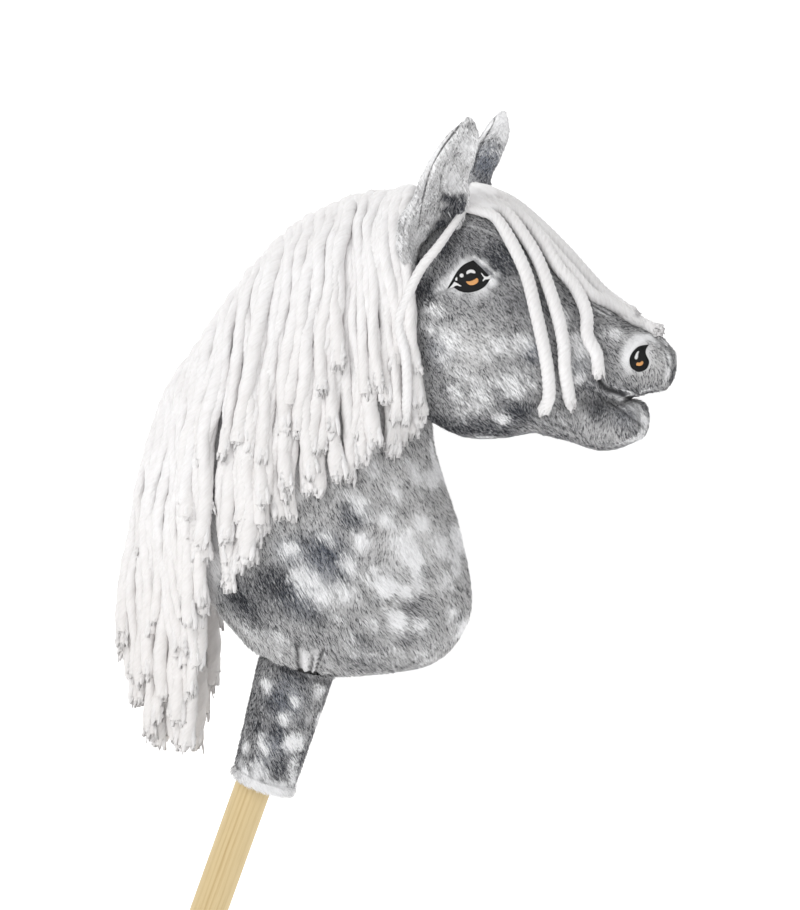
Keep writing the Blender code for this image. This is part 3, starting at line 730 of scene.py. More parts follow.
def laidDapples(points, normals, tree, fields):
    # Dapples at their places, and others by chance on the edges that the picture doesn't show.
    chance = random.Random(11)
    lean = math.radians(0.5 * (coatLook["steep"] + coatLook["shallow"]))
    nap = np.array((math.cos(lean), 0.0, math.sin(lean)))
    wobble = sum(softNoise(points, size, seed) * amount for size, seed, amount in paintLook["wobble"])
    isEdge = 1.0 - smoothStep(0.25, 0.55, np.abs(normals[:, 1]))
    dapple = smoothStep(0.1, 0.6, softNoise(points, 0.02, 9)) * isEdge * fields["elsewhere"]
    for px, py, radius in fields["dapples"]:
        centre = np.array(spot(tree, px, py)[0])
        along = (points - centre) @ nap
        apart = points - centre - np.outer(along, nap)
        across = np.einsum("ij,ij->i", apart, apart) * paintLook["narrower"]
        away = np.sqrt((along / paintLook["longer"]) ** 2 + across) / (radius * pixelSize)
        away += wobble * paintLook["uneven"]
        share = (1.0 - smoothStep(0.0, paintLook["goneAt"], away)) * chance.uniform(*fields["peaks"])
        dapple = np.maximum(dapple, share)
    return dapple * (1.0 - spotsOf(points, tree, fields["dullSpots"], 0.4))


def paintFields(mesh, tree, fields):
    # What the coat reads at each point: dapples, tone with painted shade in places, bluish patches, dark
    # seams with painted shade in creases, and the run of the nap.
    points = pointsOf(mesh) if fields["asSeen"] else nearSide(pointsOf(mesh))
    normals = normalsOf(mesh)
    values = {}
    for word, base in (("toneAndShade", fields["toneAndShade"]), ("cool", 0.0), ("lay", fields["lay"]), ("lift", 0.0)):
        grain = paintLook["grain"] if word == "toneAndShade" else 0.0
        found = base + spotsOf(points, tree, fields[word + "Spots"]) + softNoise(points, 0.025, 7) * grain
        values[word] = np.clip(found, 0.0, 1.0)
    pale = fields["pale"] * smoothStep(0.35, 0.85, values["toneAndShade"])
    values["dapple"] = np.maximum(laidDapples(points, normals, tree, fields), pale)
    halo = spotsOf(points, tree, fields["haloSpots"], 0.2) + alongLines(points, tree, fields["paleLines"])
    values["halo"] = np.clip(halo, 0.0, 0.95)
    values["seam"] = np.clip(alongLines(points, tree, fields["seamAndCreaseShadeLines"]), 0.0, 0.95)
    for word, found in values.items():
        setValues(mesh, word, found)
    setValues(mesh, "hairWay", layHair(normals, values, fields))


def layHair(normals, values, fields):
    # The way that the pile lies at each point, along the surface.
    ways = {}
    for word in ("steep", "shallow", "backward"):
        angle = math.radians(coatLook[word])
        ways[word] = np.array((math.cos(angle), 0.0, math.sin(angle))) * (-1.0 if word == "backward" else 1.0)
    lay, lift = values["lay"][:, None], values["lift"][:, None]
    way = (ways["steep"] * (1.0 - lay) + ways["shallow"] * lay) * (1.0 - lift) + ways["backward"] * lift
    if fields["way"] is not None:
        way = np.tile(np.array(fields["way"], float), (len(normals), 1))
    way -= normals * np.einsum("ij,ij->i", way, normals)[:, None]
    return way / np.maximum(np.linalg.norm(way, axis=1), 1e-6)[:, None]


plainFields = {
    "toneAndShade": 1.0, "lay": 0.0, "way": None, "asSeen": False, "elsewhere": 0.8, "pale": 0.0,
    "peaks": (0.75, 1.0), "dapples": [], "dullSpots": [], "toneAndShadeSpots": [], "coolSpots": [], "laySpots": [],
    "liftSpots": [], "haloSpots": [], "paleLines": [], "seamAndCreaseShadeLines": [],
}
# Places and sizes in pixels of the picture: dapples (x, y, radius), other spots (x, y, radius, amount).
neckFields = {
    **plainFields,
    "toneAndShade": 0.85,
    "dapples": [
        (414, 474, 13), (395, 493, 11), (359, 500, 15), (420, 522, 12), (405, 545, 24), (412, 560, 18),
        (439, 545, 13), (327, 536, 10), (361, 541, 11), (291, 547, 11), (307, 581, 19), (322, 597, 13),
        (350, 566, 11), (382, 579, 15), (445, 581, 14), (343, 593, 14), (407, 593, 11), (393, 620, 14),
        (420, 625, 11), (370, 625, 11), (277, 641, 14), (337, 618, 10), (348, 641, 15), (396, 652, 13),
        (423, 650, 15), (386, 520, 12), (374, 470, 12), (250, 633, 12), (372, 655, 11), (452, 612, 11),
    ],
    "toneAndShadeSpots": [
        (326, 550, 30, -0.9), (284, 590, 42, -1.0), (262, 622, 32, -0.4), (316, 613, 26, -0.6),
        (240, 600, 40, -0.9), (353, 520, 20, -0.6), (365, 655, 70, -0.3), (300, 640, 50, -0.3),
        (420, 640, 50, -0.2), (346, 504, 12, -0.4), (423, 573, 14, -0.45), (459, 617, 14, -0.55),
        (412, 606, 24, -0.4), (357, 638, 12, -0.35), (405, 637, 12, -0.35), (430, 500, 14, -0.3),
        (340, 575, 16, -0.5), (300, 540, 22, -0.4), (330, 672, 20, -0.35), (265, 575, 24, -0.45),
        (448, 560, 10, -0.25), (375, 600, 12, -0.25), (258, 655, 14, -0.3),
    ],
    "coolSpots": [(322, 560, 46, 0.6), (300, 600, 34, 0.4), (353, 515, 24, 0.35), (285, 550, 24, 0.3)],
    "dullSpots": [(350, 650, 70, 0.55), (262, 645, 44, 0.5), (425, 645, 40, 0.35)],
    "laySpots": [(410, 605, 60, 1.2), (240, 605, 40, 0.5)],
    "liftSpots": [(378, 545, 34, 1.1), (345, 600, 22, 0.5)],
    "paleLines": [
        ([(304, 652), (305, 668)], 3.2, 0.3), ([(319, 655), (316, 664), (313, 672)], 1.8, 0.35),
        ([(330, 667), (334, 674)], 2.4, 0.25),
        ([(429, 462), (452, 520), (464, 590), (459, 625), (436, 652)], 1.6, 0.25),
        ([(270, 657), (290, 664)], 2.0, 0.3),
    ],
    # Dark lines: painted shade in the gather crease and the folds of the tucks, and a dark seam beside the
    # gusset ridge.
    "seamAndCreaseShadeLines": [
        ([(296, 642), (297, 656), (299, 670)], 1.8, 1.5), ([(313, 658), (310, 674)], 1.8, 1.5),
        ([(323, 649), (318, 662), (314, 675)], 1.8, 1.5), ([(326, 668), (338, 676)], 1.8, 0.8),
        ([(268, 663), (290, 669), (312, 677), (337, 681)], 1.8, 0.8),
        ([(434, 462), (457, 520), (469, 590), (464, 627), (440, 656)], 1.0, 0.35),
    ],
}
headFields = {
    **plainFields,
    "toneAndShade": 0.43,
    "lay": 0.35,
    "peaks": (0.42, 0.72),
    "dapples": [
        (433, 313, 11), (430, 328, 12), (447, 338, 15), (463, 345, 14), (494, 345, 16), (524, 345, 13),
        (444, 360, 12), (466, 376, 15), (481, 396, 16), (509, 385, 16), (528, 380, 14), (476, 404, 12),
        (462, 414, 9), (500, 417, 10), (456, 392, 9), (534, 350, 9), (563, 318, 13), (577, 345, 15),
        (612, 333, 14), (645, 420, 8), (560, 418, 10), (577, 407, 9), (575, 375, 11),
    ],
    # Most spots are the print's lighter and darker parts; (416, 272) is a painted shadow under the ear's
    # base, and (669, 366) painted shade on the muzzle's front.
    "toneAndShadeSpots": [
        (475, 350, 55, 0.34), (500, 262, 36, -0.55), (455, 240, 34, -0.3), (535, 300, 24, -0.3),
        (645, 355, 50, 0.45), (600, 410, 22, -0.5), (600, 428, 44, 0.22), (438, 425, 30, -0.6),
        (416, 272, 16, -0.7), (520, 412, 26, -0.55), (500, 430, 30, -0.45), (470, 428, 34, -0.5),
        (622, 390, 16, -0.35), (590, 385, 16, -0.4), (425, 290, 22, -0.4), (445, 390, 12, -0.3),
        (532, 358, 12, -0.3), (608, 443, 12, -0.3), (618, 438, 24, 0.2), (672, 375, 10, -0.3),
        (588, 310, 14, -0.3), (440, 250, 18, -0.3), (512, 300, 20, -0.2), (655, 392, 12, -0.3),
        (669, 366, 13, -0.6), (640, 432, 14, -0.35), (638, 390, 12, -0.35),
    ],
    "coolSpots": [(535, 350, 18, 0.5), (440, 350, 24, 0.25), (578, 365, 20, 0.3), (625, 415, 20, 0.3)],
    "laySpots": [(470, 330, 60, 0.4)],
    "liftSpots": [(600, 420, 46, 0.9), (650, 380, 26, 0.7), (530, 405, 22, 0.6), (540, 330, 18, 0.4)],
    "haloSpots": [
        (455, 275, 12, 0.6), (462, 264, 10, 0.45), (446, 284, 13, 0.5), (470, 257, 7, 0.2),
        (484, 291, 9, 0.6), (492, 282, 8, 0.85), (474, 297, 9, 0.45), (438, 291, 9, 0.4),
        (631, 344, 11, 1.0), (626, 353, 10, 0.95), (639, 338, 12, 1.0), (649, 337, 10, 0.95),
        (625, 362, 8, 0.75), (656, 343, 8, 0.7), (628, 370, 7, 0.5), (632, 406, 9, 0.2), (638, 418, 14, 0.2),
        (458, 294, 8, 0.4), (484, 262, 7, 0.4), (497, 274, 5, 0.6),
    ],
    "paleLines": [
        ([(474, 256), (484, 263), (494, 272)], 1.3, 0.8),
        ([(536, 419), (564, 431), (586, 438), (598, 442), (613, 441), (625, 437)], 1.6, 0.2),
        ([(612, 395), (627, 404), (644, 417)], 3.0, 0.25),
        ([(455, 222), (476, 227), (496, 235), (506, 245)], 1.2, 0.3),
    ],
    # Dark lines: painted shade in the mouth's crease and in folds of the lips, eye and cheek, and the seam
    # along the nose.
    "seamAndCreaseShadeLines": [
        ([(596, 374), (600, 382), (607, 389), (617, 392), (626, 396), (637, 400)], 2.8, 1.4),
        ([(588, 302), (604, 312), (619, 320), (640, 330), (661, 336)], 1.2, 0.6),
        ([(665, 354), (668, 362), (672, 373)], 1.3, 0.6),
        ([(594, 391), (605, 400), (616, 407), (627, 415), (641, 425), (648, 427)], 1.4, 0.9),
        ([(452, 288), (440, 293), (430, 299), (427, 304)], 1.3, 0.55),
        ([(485, 345), (498, 360), (512, 375)], 1.2, 0.4), ([(518, 378), (535, 395)], 1.1, 0.35),
        ([(536, 416), (564, 428), (586, 435), (598, 438), (613, 437)], 1.3, 0.35),
    ],
}


# Short pile: single hairs on the skin, each with its own shade

pileLook = {
    "density": 1.10e6,
    "width": 0.00031,
    "lift": 0.32,
    "astray": 0.28,
    "lengths": (0.65, 1.15),
    "neck": 0.0042,
    "head": 0.0029,
    "ear": 0.0024,
    "sleeve": 0.0034,
    "hem": 0.0042,
    "clearance": 0.014,
}


def pileTree():
    tree, given, out = geometryTree("shortPile", [
        ("Density", "Float", 1.0e6), ("Length", "Float", 0.004), ("Width", "Float", 0.0003),
        ("Lift", "Float", 0.3), ("Seed", "Int", 1), ("Pile", "Material", None),
    ])
    spots = addNode(
        tree, "GeometryNodeDistributePointsOnFaces", Mesh=given["Geometry"], Seed=given["Seed"],
        Density=calc(tree, "MULTIPLY", namedValue(tree, "furShare"), given["Density"]),
    )
    most = pileLook["astray"]
    astray = result(
        tree, "FunctionNodeRandomValue", {"data_type": "FLOAT_VECTOR"},
        Min=(-most, -most, -most), Max=(most, most, most), Seed=given["Seed"],
    )
    lift = vectorOf(tree, given["Lift"], given["Lift"], given["Lift"])
    up = vectorCalc(tree, "MULTIPLY", spots.outputs["Normal"], lift)
    laid = vectorCalc(tree, "ADD", namedValue(tree, "hairWay", "FLOAT_VECTOR"), up)
    way = result(
        tree, "FunctionNodeAlignRotationToVector", {"axis": "Z"}, Vector=vectorCalc(tree, "ADD", laid, astray)
    )
    long = calc(tree, "MULTIPLY", randomValue(tree, *pileLook["lengths"], 3), given["Length"])
    hair = result(
        tree, "GeometryNodeMeshCone",
        Vertices=3, Side_Segments=1, Radius_Top=0.0, Radius_Bottom=1.0, Depth=1.0,
    )
    standing = result(
        tree, "GeometryNodeInstanceOnPoints", Points=spots.outputs["Points"], Instance=hair, Rotation=way,
        Scale=vectorOf(tree, given["Width"], given["Width"], long),
    )
    shade = randomValue(tree, 0.0, 1.0, 5)
    closeTree(tree, storeValue(tree, standing, "hairShade", shade, "INSTANCE", "FLOAT"), given["Pile"], out)
    return tree


pileMaker = pileTree()
maneCover = nodesTree("mane_right", "mane_left")


def pixelsOf(points):
    # Where points are seen in the picture.
    away = points - np.array(eyePoint)
    scale = sightScale * (away @ np.array(ahead))
    across, down = away @ np.array(toRight) / scale, away @ np.array(upwards) / scale
    return np.stack((imageSize[0] / 2 + across, imageSize[1] / 2 - down), axis=1)


def isInside(pixels, outline):
    inside = np.zeros(len(pixels), bool)
    x, y = pixels[:, 0], pixels[:, 1]
    for (ax, ay), (bx, by) in zip(outline, outline[1:] + outline[:1]):
        if ay != by:
            crosses = ((ay > y) != (by > y)) & (x < (bx - ax) * (y - ay) / (by - ay) + ax)
            inside ^= crosses
    return inside


# Rough outlines in pixels of stitches, seams, tucks and the mouth, where no pile grows.
bareAreas = [
    [(597, 375), (612, 387), (627, 394), (640, 398), (640, 404), (625, 400), (611, 395), (599, 384)],
    [(463, 118), (450, 134), (439, 149), (430, 167), (425, 181), (421, 198), (419, 210), (418, 226),
     (420, 226), (423, 210), (425, 198), (429, 181), (434, 167), (443, 151), (454, 136), (465, 120)],
    [(296, 648), (309, 652), (309, 676), (300, 674)],
    [(312, 655), (323, 650), (318, 670), (311, 677)],
    [(445, 289), (455, 272), (466, 260), (476, 259), (494, 275), (488, 286), (477, 293), (462, 294)],
    [(628, 356), (633, 349), (640, 344), (650, 343), (650, 352), (651, 364), (645, 372), (635, 372),
     (629, 367)],
]


def openShare(mesh, length):
    # 0 where a hair would stand in a bare area or lie over it.
    points = nearSide(pointsOf(mesh))
    ways = readVectors(mesh.attributes["hairWay"].data, "vector", len(points))
    share = np.ones(len(points))
    for outline in bareAreas:
        for reached in (0.0, 0.5, 1.0):
            share[isInside(pixelsOf(points + ways * length * reached), outline)] = 0.0
    return share


def bareShare(points):
    # 0 where the yarn covers the plush for good, 1 elsewhere.
    share = np.ones(len(points))
    for number, point in enumerate(points):
        side = Vector((0.0, 1.0 if point[1] > 0.0 else -1.0, 0.0))
        start = Vector(point) - side * 0.004 - Vector((0.0, 0.0, pileLook["clearance"]))
        if maneCover.ray_cast(start, side, 0.08)[0] is not None:
            share[number] = 0.0
    return share


def growPile(name, mesh, length, slotName, underMane=False):
    # The big skins reach under the mane and have a pile for each side.
    points = pointsOf(mesh)
    share = openShare(mesh, length)
    halves = (("", True),)
    if underMane:
        share = share * bareShare(points)
        halves = (("_right", points[:, 1] < 0.0), ("_left", points[:, 1] > 0.0))
    for number, (ending, half) in enumerate(halves):
        item = addObject("bare", mesh.copy())
        setValues(item.data, "furShare", np.where(half, share, 0.0))
        made = grown(item, pileMaker, {
            "Density": pileLook["density"], "Length": length, "Width": pileLook["width"],
            "Lift": pileLook["lift"], "Seed": 21 + number, "Pile": pile,
        }, name + ending)
        removeObject(item)
        for extra in ("furShare", "hairWay"):
            if extra in made.attributes:
                made.attributes.remove(made.attributes[extra])
        hairs = addObject(made.name, made, pile)
        finishPiece(hairs, slotName)
        print(made.name, len(made.polygons) // 4, "hairs")
    return hairs


for name, skin, tree, fields, solids in (
    ("neck_plush", neckSkin, neckTree, neckFields, ["neck"]),
    ("head_plush", headSkin, headTree, headFields, ["head", "lower_jaw", "mouth_lining"]),
):
    paintFields(skin, tree, fields)
    piece = addObject(name, skin, coat)
    finishPiece(piece, name, *solids)
growPile("neck_pile", neckSkin, pileLook["neck"], "neck_plush", underMane=True)
growPile("head_pile", headSkin, pileLook["head"], "head_plush", underMane=True)


# Yarn: plied strands grown along paths that are worked out from the surfaces they lie on

yarnLook = {
    "radius": 0.0042,
    "plies": 3,
    "relief": 0.07,
    "sides": 12,
    "spacing": 0.0036,
    "twist": 0.05,
}
woolLook = {
    "white": tint(244, 244, 245),
    "shaded": tint(232, 230, 230),
    # The grey mixed into the yarn: a light grey all over, and painted shade where it hangs low and far back
    # and near its ends.
    "greyAndShade": tint(226, 222, 219),
    "hollow": tint(212, 208, 205),
    "fibreTurn": -70.0,
    "fibreStretch": 55.0,
    # Scale, detail and roughness of the noise, and where the hollows between the fibres lie and how dark
    # their painted shade is.
    "fibres": (2.6, 3.0, 0.6),
    "patches": (45.0, 2.0),
    "hollows": (0.35, 0.58, 0.28, 0.0),
}
goldenTurn = 2.399  # spreads any number of turns evenly
fullTurn = 6.28


def yarnTree():
    tree, given, out = geometryTree("pliedYarn", [
        ("Radius", "Float", 0.004), ("Plies", "Int", 3), ("Relief", "Float", 0.1), ("Sides", "Int", 12),
        ("Spacing", "Float", 0.002), ("Twist", "Float", 0.03), ("Yarn", "Material", None),
    ])
    line = result(tree, "GeometryNodeMeshToCurve", Mesh=given["Geometry"])
    bent = result(tree, "GeometryNodeCurveSplineType", {"spline_type": "CATMULL_ROM"}, Curve=line)
    even = result(tree, "GeometryNodeResampleCurve", {"mode": "LENGTH"}, Curve=bent, Length=given["Spacing"])
    turns = calc(tree, "MULTIPLY", calc(tree, "DIVIDE", namedValue(tree, "along"), given["Twist"]), math.tau)
    tilt = calc(tree, "ADD", turns, namedValue(tree, "phase"))
    tilted = result(tree, "GeometryNodeSetCurveTilt", Curve=even, Tilt=tilt)
    # The ring swells once for each ply, and each point keeps its place on it for the material.
    ring = result(tree, "GeometryNodeCurvePrimitiveCircle", Resolution=given["Sides"], Radius=1.0)
    number = result(tree, "GeometryNodeInputIndex")
    around = calc(tree, "MULTIPLY", calc(tree, "DIVIDE", number, given["Sides"]), math.tau)
    lobes = calc(tree, "COSINE", calc(tree, "MULTIPLY", around, given["Plies"]))
    size = calc(tree, "MULTIPLY_ADD", lobes, given["Relief"], 1.0)
    place = result(tree, "GeometryNodeInputPosition")
    marked = storeValue(tree, ring, "ring", place, "POINT", "FLOAT_VECTOR")
    plied = vectorCalc(tree, "MULTIPLY", place, vectorOf(tree, size, size, size))
    skin = result(
        tree, "GeometryNodeCurveToMesh", Curve=tilted, Fill_Caps=True,
        Profile_Curve=result(tree, "GeometryNodeSetPosition", Geometry=marked, Position=plied),
        Scale=calc(tree, "MULTIPLY", namedValue(tree, "swell"), given["Radius"]),
    )
    closeTree(tree, result(tree, "GeometryNodeSetShadeSmooth", Geometry=skin), given["Yarn"], out)
    return tree


def yarnMaterial():
    # White wool: fine fibres and plies that run round with the twist.
    material, tree, sockets = newMaterial(
        "whiteYarn", Roughness=0.95, Sheen_Weight=0.15, Sheen_Roughness=0.6, Specular_IOR_Level=0.15
    )
    along = readValue(tree, "along")
    turn = calc(tree, "MULTIPLY", along, woolLook["fibreTurn"])
    parts = partsOf(tree, turned(tree, readValue(tree, "ring", "Vector"), "Z", turn))
    lengthwise = calc(tree, "MULTIPLY_ADD", along, woolLook["fibreStretch"], readValue(tree, "phase"))
    fibres = noise(tree, vectorOf(tree, parts["X"], parts["Y"], lengthwise), *woolLook["fibres"])
    patches = noise(tree, objectPlace(tree), *woolLook["patches"])
    base = mixColour(tree, patches, woolLook["white"], woolLook["shaded"])
    # A light grey and painted shade, by the value that each strand carries.
    base = mixColour(tree, readValue(tree, "greyAndShade"), base, woolLook["greyAndShade"])
    # Painted shade in the hollows between the fibres.
    base = mixColour(tree, between(tree, fibres, *woolLook["hollows"]), base, woolLook["hollow"])
    closeMaterial(tree, sockets, base, fibres, Strength=0.8, Distance=0.0008)
    return material


yarnMaker = yarnTree()
whiteYarn = yarnMaterial()


def strandsMesh(strands, greyAndShadeOf):
    # Each strand is (points, swell along it); the mesh is bare lines that carry the values for the yarn.
    verts, edges, along, swell, phase, greyAndShade = [], [], [], [], [], []
    for number, (points, sizes) in enumerate(strands):
        start = len(verts)
        reach = lengthAlong(points)
        verts += [tuple(point) for point in points]
        edges += [(start + i, start + i + 1) for i in range(len(points) - 1)]
        along += list(reach)
        swell += list(sizes)
        phase += [(number * goldenTurn) % math.tau] * len(points)
        greyAndShade += list(greyAndShadeOf(points, reach / reach[-1]))
    mesh = bpy.data.meshes.new("lines")
    mesh.from_pydata(verts, edges, [])
    for name, values in (("along", along), ("swell", swell), ("phase", phase), ("greyAndShade", greyAndShade)):
        setValues(mesh, name, values)
    return mesh


def makeYarn(name, strands, look, greyAndShadeOf, *stoodFor):
    lines = addObject("lines", strandsMesh(strands, greyAndShadeOf))
    words = ("radius", "plies", "relief", "sides", "spacing", "twist")
    values = {word.capitalize(): look[word] for word in words}
    mesh = grown(lines, yarnMaker, {**values, "Yarn": whiteYarn}, name)
    removeObject(lines)
    finishPiece(addObject(name, mesh, whiteYarn), "white_yarn", *stoodFor)
    print(name, len(mesh.polygons), "faces")


# Cut ends: the yarn opens into its threads, which spread a little and stop at odd lengths.
endLook = {
    "radius": 0.0019,
    "plies": 2,
    "relief": 0.10,
    "sides": 6,
    "spacing": 0.0038,
    "twist": 0.02,
    "thick": 9,
    "fine": 5,
    "fineSize": 0.36,
    "fineBeyond": 1.35,
    "fineCurl": 1.6,
    "inside": 0.016,
    "beyond": (0.0, 0.0048),
    "flare": (1.15, 1.5),
    "startWidth": 0.62,
    "flatness": 0.9,
    "curl": 0.0018,
    "narrows": 4,
    # Thickness along a thread and along the soft core between the threads.
    "taper": (0.9, 1.0, 1.0, 1.0, 1.0, 0.92, 0.6),
    "core": (0.8, 0.86, 0.9, 0.92, 0.88, 0.74, 0.4),
}


def openedEnd(path, sizes, radius, look, chance):
    reach = lengthAlong(path)
    inside = min(look["inside"] * chance.uniform(0.8, 1.3), reach[-1] * 0.5)
    way = path[-1] - path[-3]
    way /= np.linalg.norm(way)
    side = np.cross(way, (0.0, 1.0, 0.0))
    side /= np.linalg.norm(side)
    deep = np.cross(way, side)
    base = radius * float(np.median(sizes))
    widest = 0.85 * chance.uniform(*look["flare"])
    share = np.linspace(0.0, 1.0, len(look["taper"]))[:, None]
    wide = base * (look["startWidth"] + (widest - look["startWidth"]) * smoothStep(0.0, 1.0, share))
    threads = []
    for number in range(look["thick"] + look["fine"]):
        isFine = number >= look["thick"]
        turn = number * goldenTurn + chance.uniform(-0.3, 0.3)
        out = math.sqrt((number % look["thick"] + 0.5) / look["thick"]) * chance.uniform(0.85, 1.05)
        offset = (side * math.cos(turn) + deep * math.sin(turn) * look["flatness"]) * out
        beyond = chance.uniform(*look["beyond"]) * (look["fineBeyond"] if isFine else 1.0)
        curl = np.array([chance.uniform(-1.0, 1.0) for _ in range(3)]) * look["curl"]
        curl *= look["fineCurl"] if isFine else 1.0
        stops = np.linspace(reach[-1] - inside, reach[-1] + beyond, len(share))
        spine = pathAt(path, reach, stops)
        spine += np.outer(np.maximum(stops - reach[-1], 0.0), way)
        size = (look["fineSize"] if isFine else chance.uniform(0.8, 1.2)) * base / radius
        threads.append((spine + offset * wide + curl * share ** 2, size * np.array(look["taper"])))
    threads.append((spine, base / look["radius"] * np.array(look["core"])))
    return threads


def narrowed(strands, count):
    # The yarn itself thins out inside its opened end.
    thinner = np.linspace(1.0, 0.88, count)
    return [(path, np.concatenate((sizes[:-count], sizes[-count:] * thinner))) for path, sizes in strands]


def mirrored(strands):
    return [(points * np.array((1.0, -1.0, 1.0)), sizes) for points, sizes in strands]


def sewYarn(names, strands, look, ends, greyAndShadeOf, chance, *stoodFor):
    # Strands that are joined into one piece, and their opened ends as another.
    threads = []
    for path, sizes in strands:
        threads += openedEnd(path, sizes, look["radius"], ends, chance)
    makeYarn(names[0], narrowed(strands, ends["narrows"]), look, greyAndShadeOf[0], *stoodFor)
    makeYarn(names[1], threads, ends, greyAndShadeOf[1])


# Mane: three layers of strands that hang from the crest

maneLook = {
    "parting": 0.0015,
    "step": 0.0045,
    "mostSteps": 120,
    "columns": (54, 44, 33),
    "lifts": (0.0040, 0.0074, 0.0110),
    "risesOver": 0.05,
    "shorter": ((0.0, 0.012), (0.008, 0.040), (0.024, 0.080)),
    "leastShare": 0.5,
    "thickness": (0.78, 1.26),
    "uneven": 0.09,
    "inset": 0.045,
    # Behind the first turn the roots are set back, fully so past the second.
    "rootTurn": 9.0,
    "setBack": (85.0, 125.0),
    # The tail, where the fall leaves the neck's side: its turns, its width and how its ends are stepped.
    "tailTurns": (118.0, 150.0),
    "tailWidth": 0.020,
    "tailFront": 0.150,
    "tailDepth": 0.072,
    "tailSteps": 0.7,
    "edge": (0.130, 0.142),
    "edgeOut": 0.014,
    # How the far side's fall differs: it leans back, and hangs lower round one place.
    "farLean": 0.5,
    "farLeanFrom": (0.22, 0.28),
    "farTailLean": 0.27,
    "farTailFrom": (0.165, 0.150),
    "farDrop": (0.1445, 0.008, 0.026),
    # A strand's own waves: how far out, how long, and how far its end is moved.
    "wave": 0.0024,
    "waveLength": (0.06, 0.12),
    "drift": 0.007,
    # How quickly a strand draws to its place ahead and sideways, and how often it is smoothed.
    "draw": (0.25, 0.06),
    "smoothed": 10,
    # How far the yarn stands over the crest, and between which turns it rises there and sinks again.
    "rise": 0.0210,
    "riseTurns": (71.0, 89.0, 102.0, 150.0),
    "backRise": 0.005,
    "backRiseTurns": (160.0, 178.0, 181.0, 192.0),
    # Pixels of the lowest ends, from the cheek to the back, each with the turn of its root round the centre.
    "ends": [
        (419, 414, 77), (404, 438, 80), (376, 462, 84), (328, 486, 94), (302, 510, 103), (268, 538, 114),
        (250, 566, 124), (222, 588, 134), (210, 604, 138), (203, 624, 142), (196, 670, 148), (190, 718, 152),
        (183, 748, 157), (172, 768, 163), (156, 734, 169), (141, 702, 175), (122, 676, 181), (128, 684, 189),
        (140, 696, 197),
    ],
}


def humpAt(turn, rises, full, sinks, gone):
    return float(smoothStep(rises, full, turn)) * (1.0 - float(smoothStep(sinks, gone, turn)))


def crestRise(turn):
    front, back = (humpAt(turn, *maneLook[word]) for word in ("riseTurns", "backRiseTurns"))
    return maneLook["rise"] * front + maneLook["backRise"] * back


def crestPoint(turn):
    # The neck's edge on the middle plane, seen from a centre inside it.
    out = Vector((math.cos(turn), 0.0, math.sin(turn)))
    return neckTree.ray_cast(crestLook["centre"] + out * 0.5, -out)[0], out


def hangStrand(bodyTree, root, out, end, goal, full, rise, chance):
    # Over the crest, down the side and then straight down, never nearer to the plush than its lift.
    step, parting, least = maneLook["step"], maneLook["parting"], maneLook["lifts"][0]
    top = least + rise
    place = root + out * top + Vector((0.0, -parting - least * 0.3, 0.0))
    points = [root - out * 0.002 + Vector((0.0, -parting, 0.0)), root + out * top * 0.6, place.copy()]
    total = max(root.z - end.z, 0.03)
    wave = [chance.uniform(0.0, fullTurn) for _ in range(2)]
    span = chance.uniform(*maneLook["waveLength"])
    drift = chance.uniform(0.6, 1.4) * maneLook["wave"]
    travelled = 0.0
    while place.z > end.z and len(points) < maneLook["mostSteps"]:
        travelled += step
        lift = least + (full - least) * float(smoothStep(0.0, maneLook["risesOver"], travelled))
        settled = float(smoothStep(0.0, 0.035, travelled))
        place += Vector((0.0, -1.0 + settled, -0.25 - 0.75 * settled)).normalized() * step
        fallen = min((root.z - place.z) / total, 1.0)
        wanted = root.x + (end.x - root.x) * float(smoothStep(-0.1, 0.75, fallen))
        place.x += (wanted - place.x) * maneLook["draw"][0]
        place.y += (goal - place.y) * maneLook["draw"][1]
        near, normal, _, gap = bodyTree.find_nearest(place)
        if (place - near).dot(normal) < 0.0:
            gap = -gap
        if gap < lift:
            push = Vector((normal.x * 0.25, normal.y, max(normal.z, 0.0)))
            if push.length > 0.05:
                place += push.normalized() * (lift - gap)
        sway = drift * min(travelled / 0.05, 1.0)
        swayX = sway * math.sin(travelled / span * fullTurn + wave[0])
        swayY = sway * 0.6 * math.sin(travelled / span * 4.9 + wave[1])
        points.append(place + Vector((swayX, swayY, 0.0)))
    path = np.array(points)
    for _ in range(maneLook["smoothed"]):
        path[1:-1] = (path[:-2] + 2.0 * path[1:-1] + path[2:]) / 4.0
    return path


def unevenSizes(path, size, seed):
    # A strand's thickness along it: thin at the root, uneven, and a little wider at its end.
    sizes = size * (1.0 + maneLook["uneven"] * softNoise(path * (1.0, 1.0, 0.35), 0.009, seed))
    sizes[:2] *= 0.8
    widening = np.linspace(0.0, 1.0, min(6, len(path)))
    sizes[-len(widening):] *= 1.0 + 0.2 * widening
    return sizes


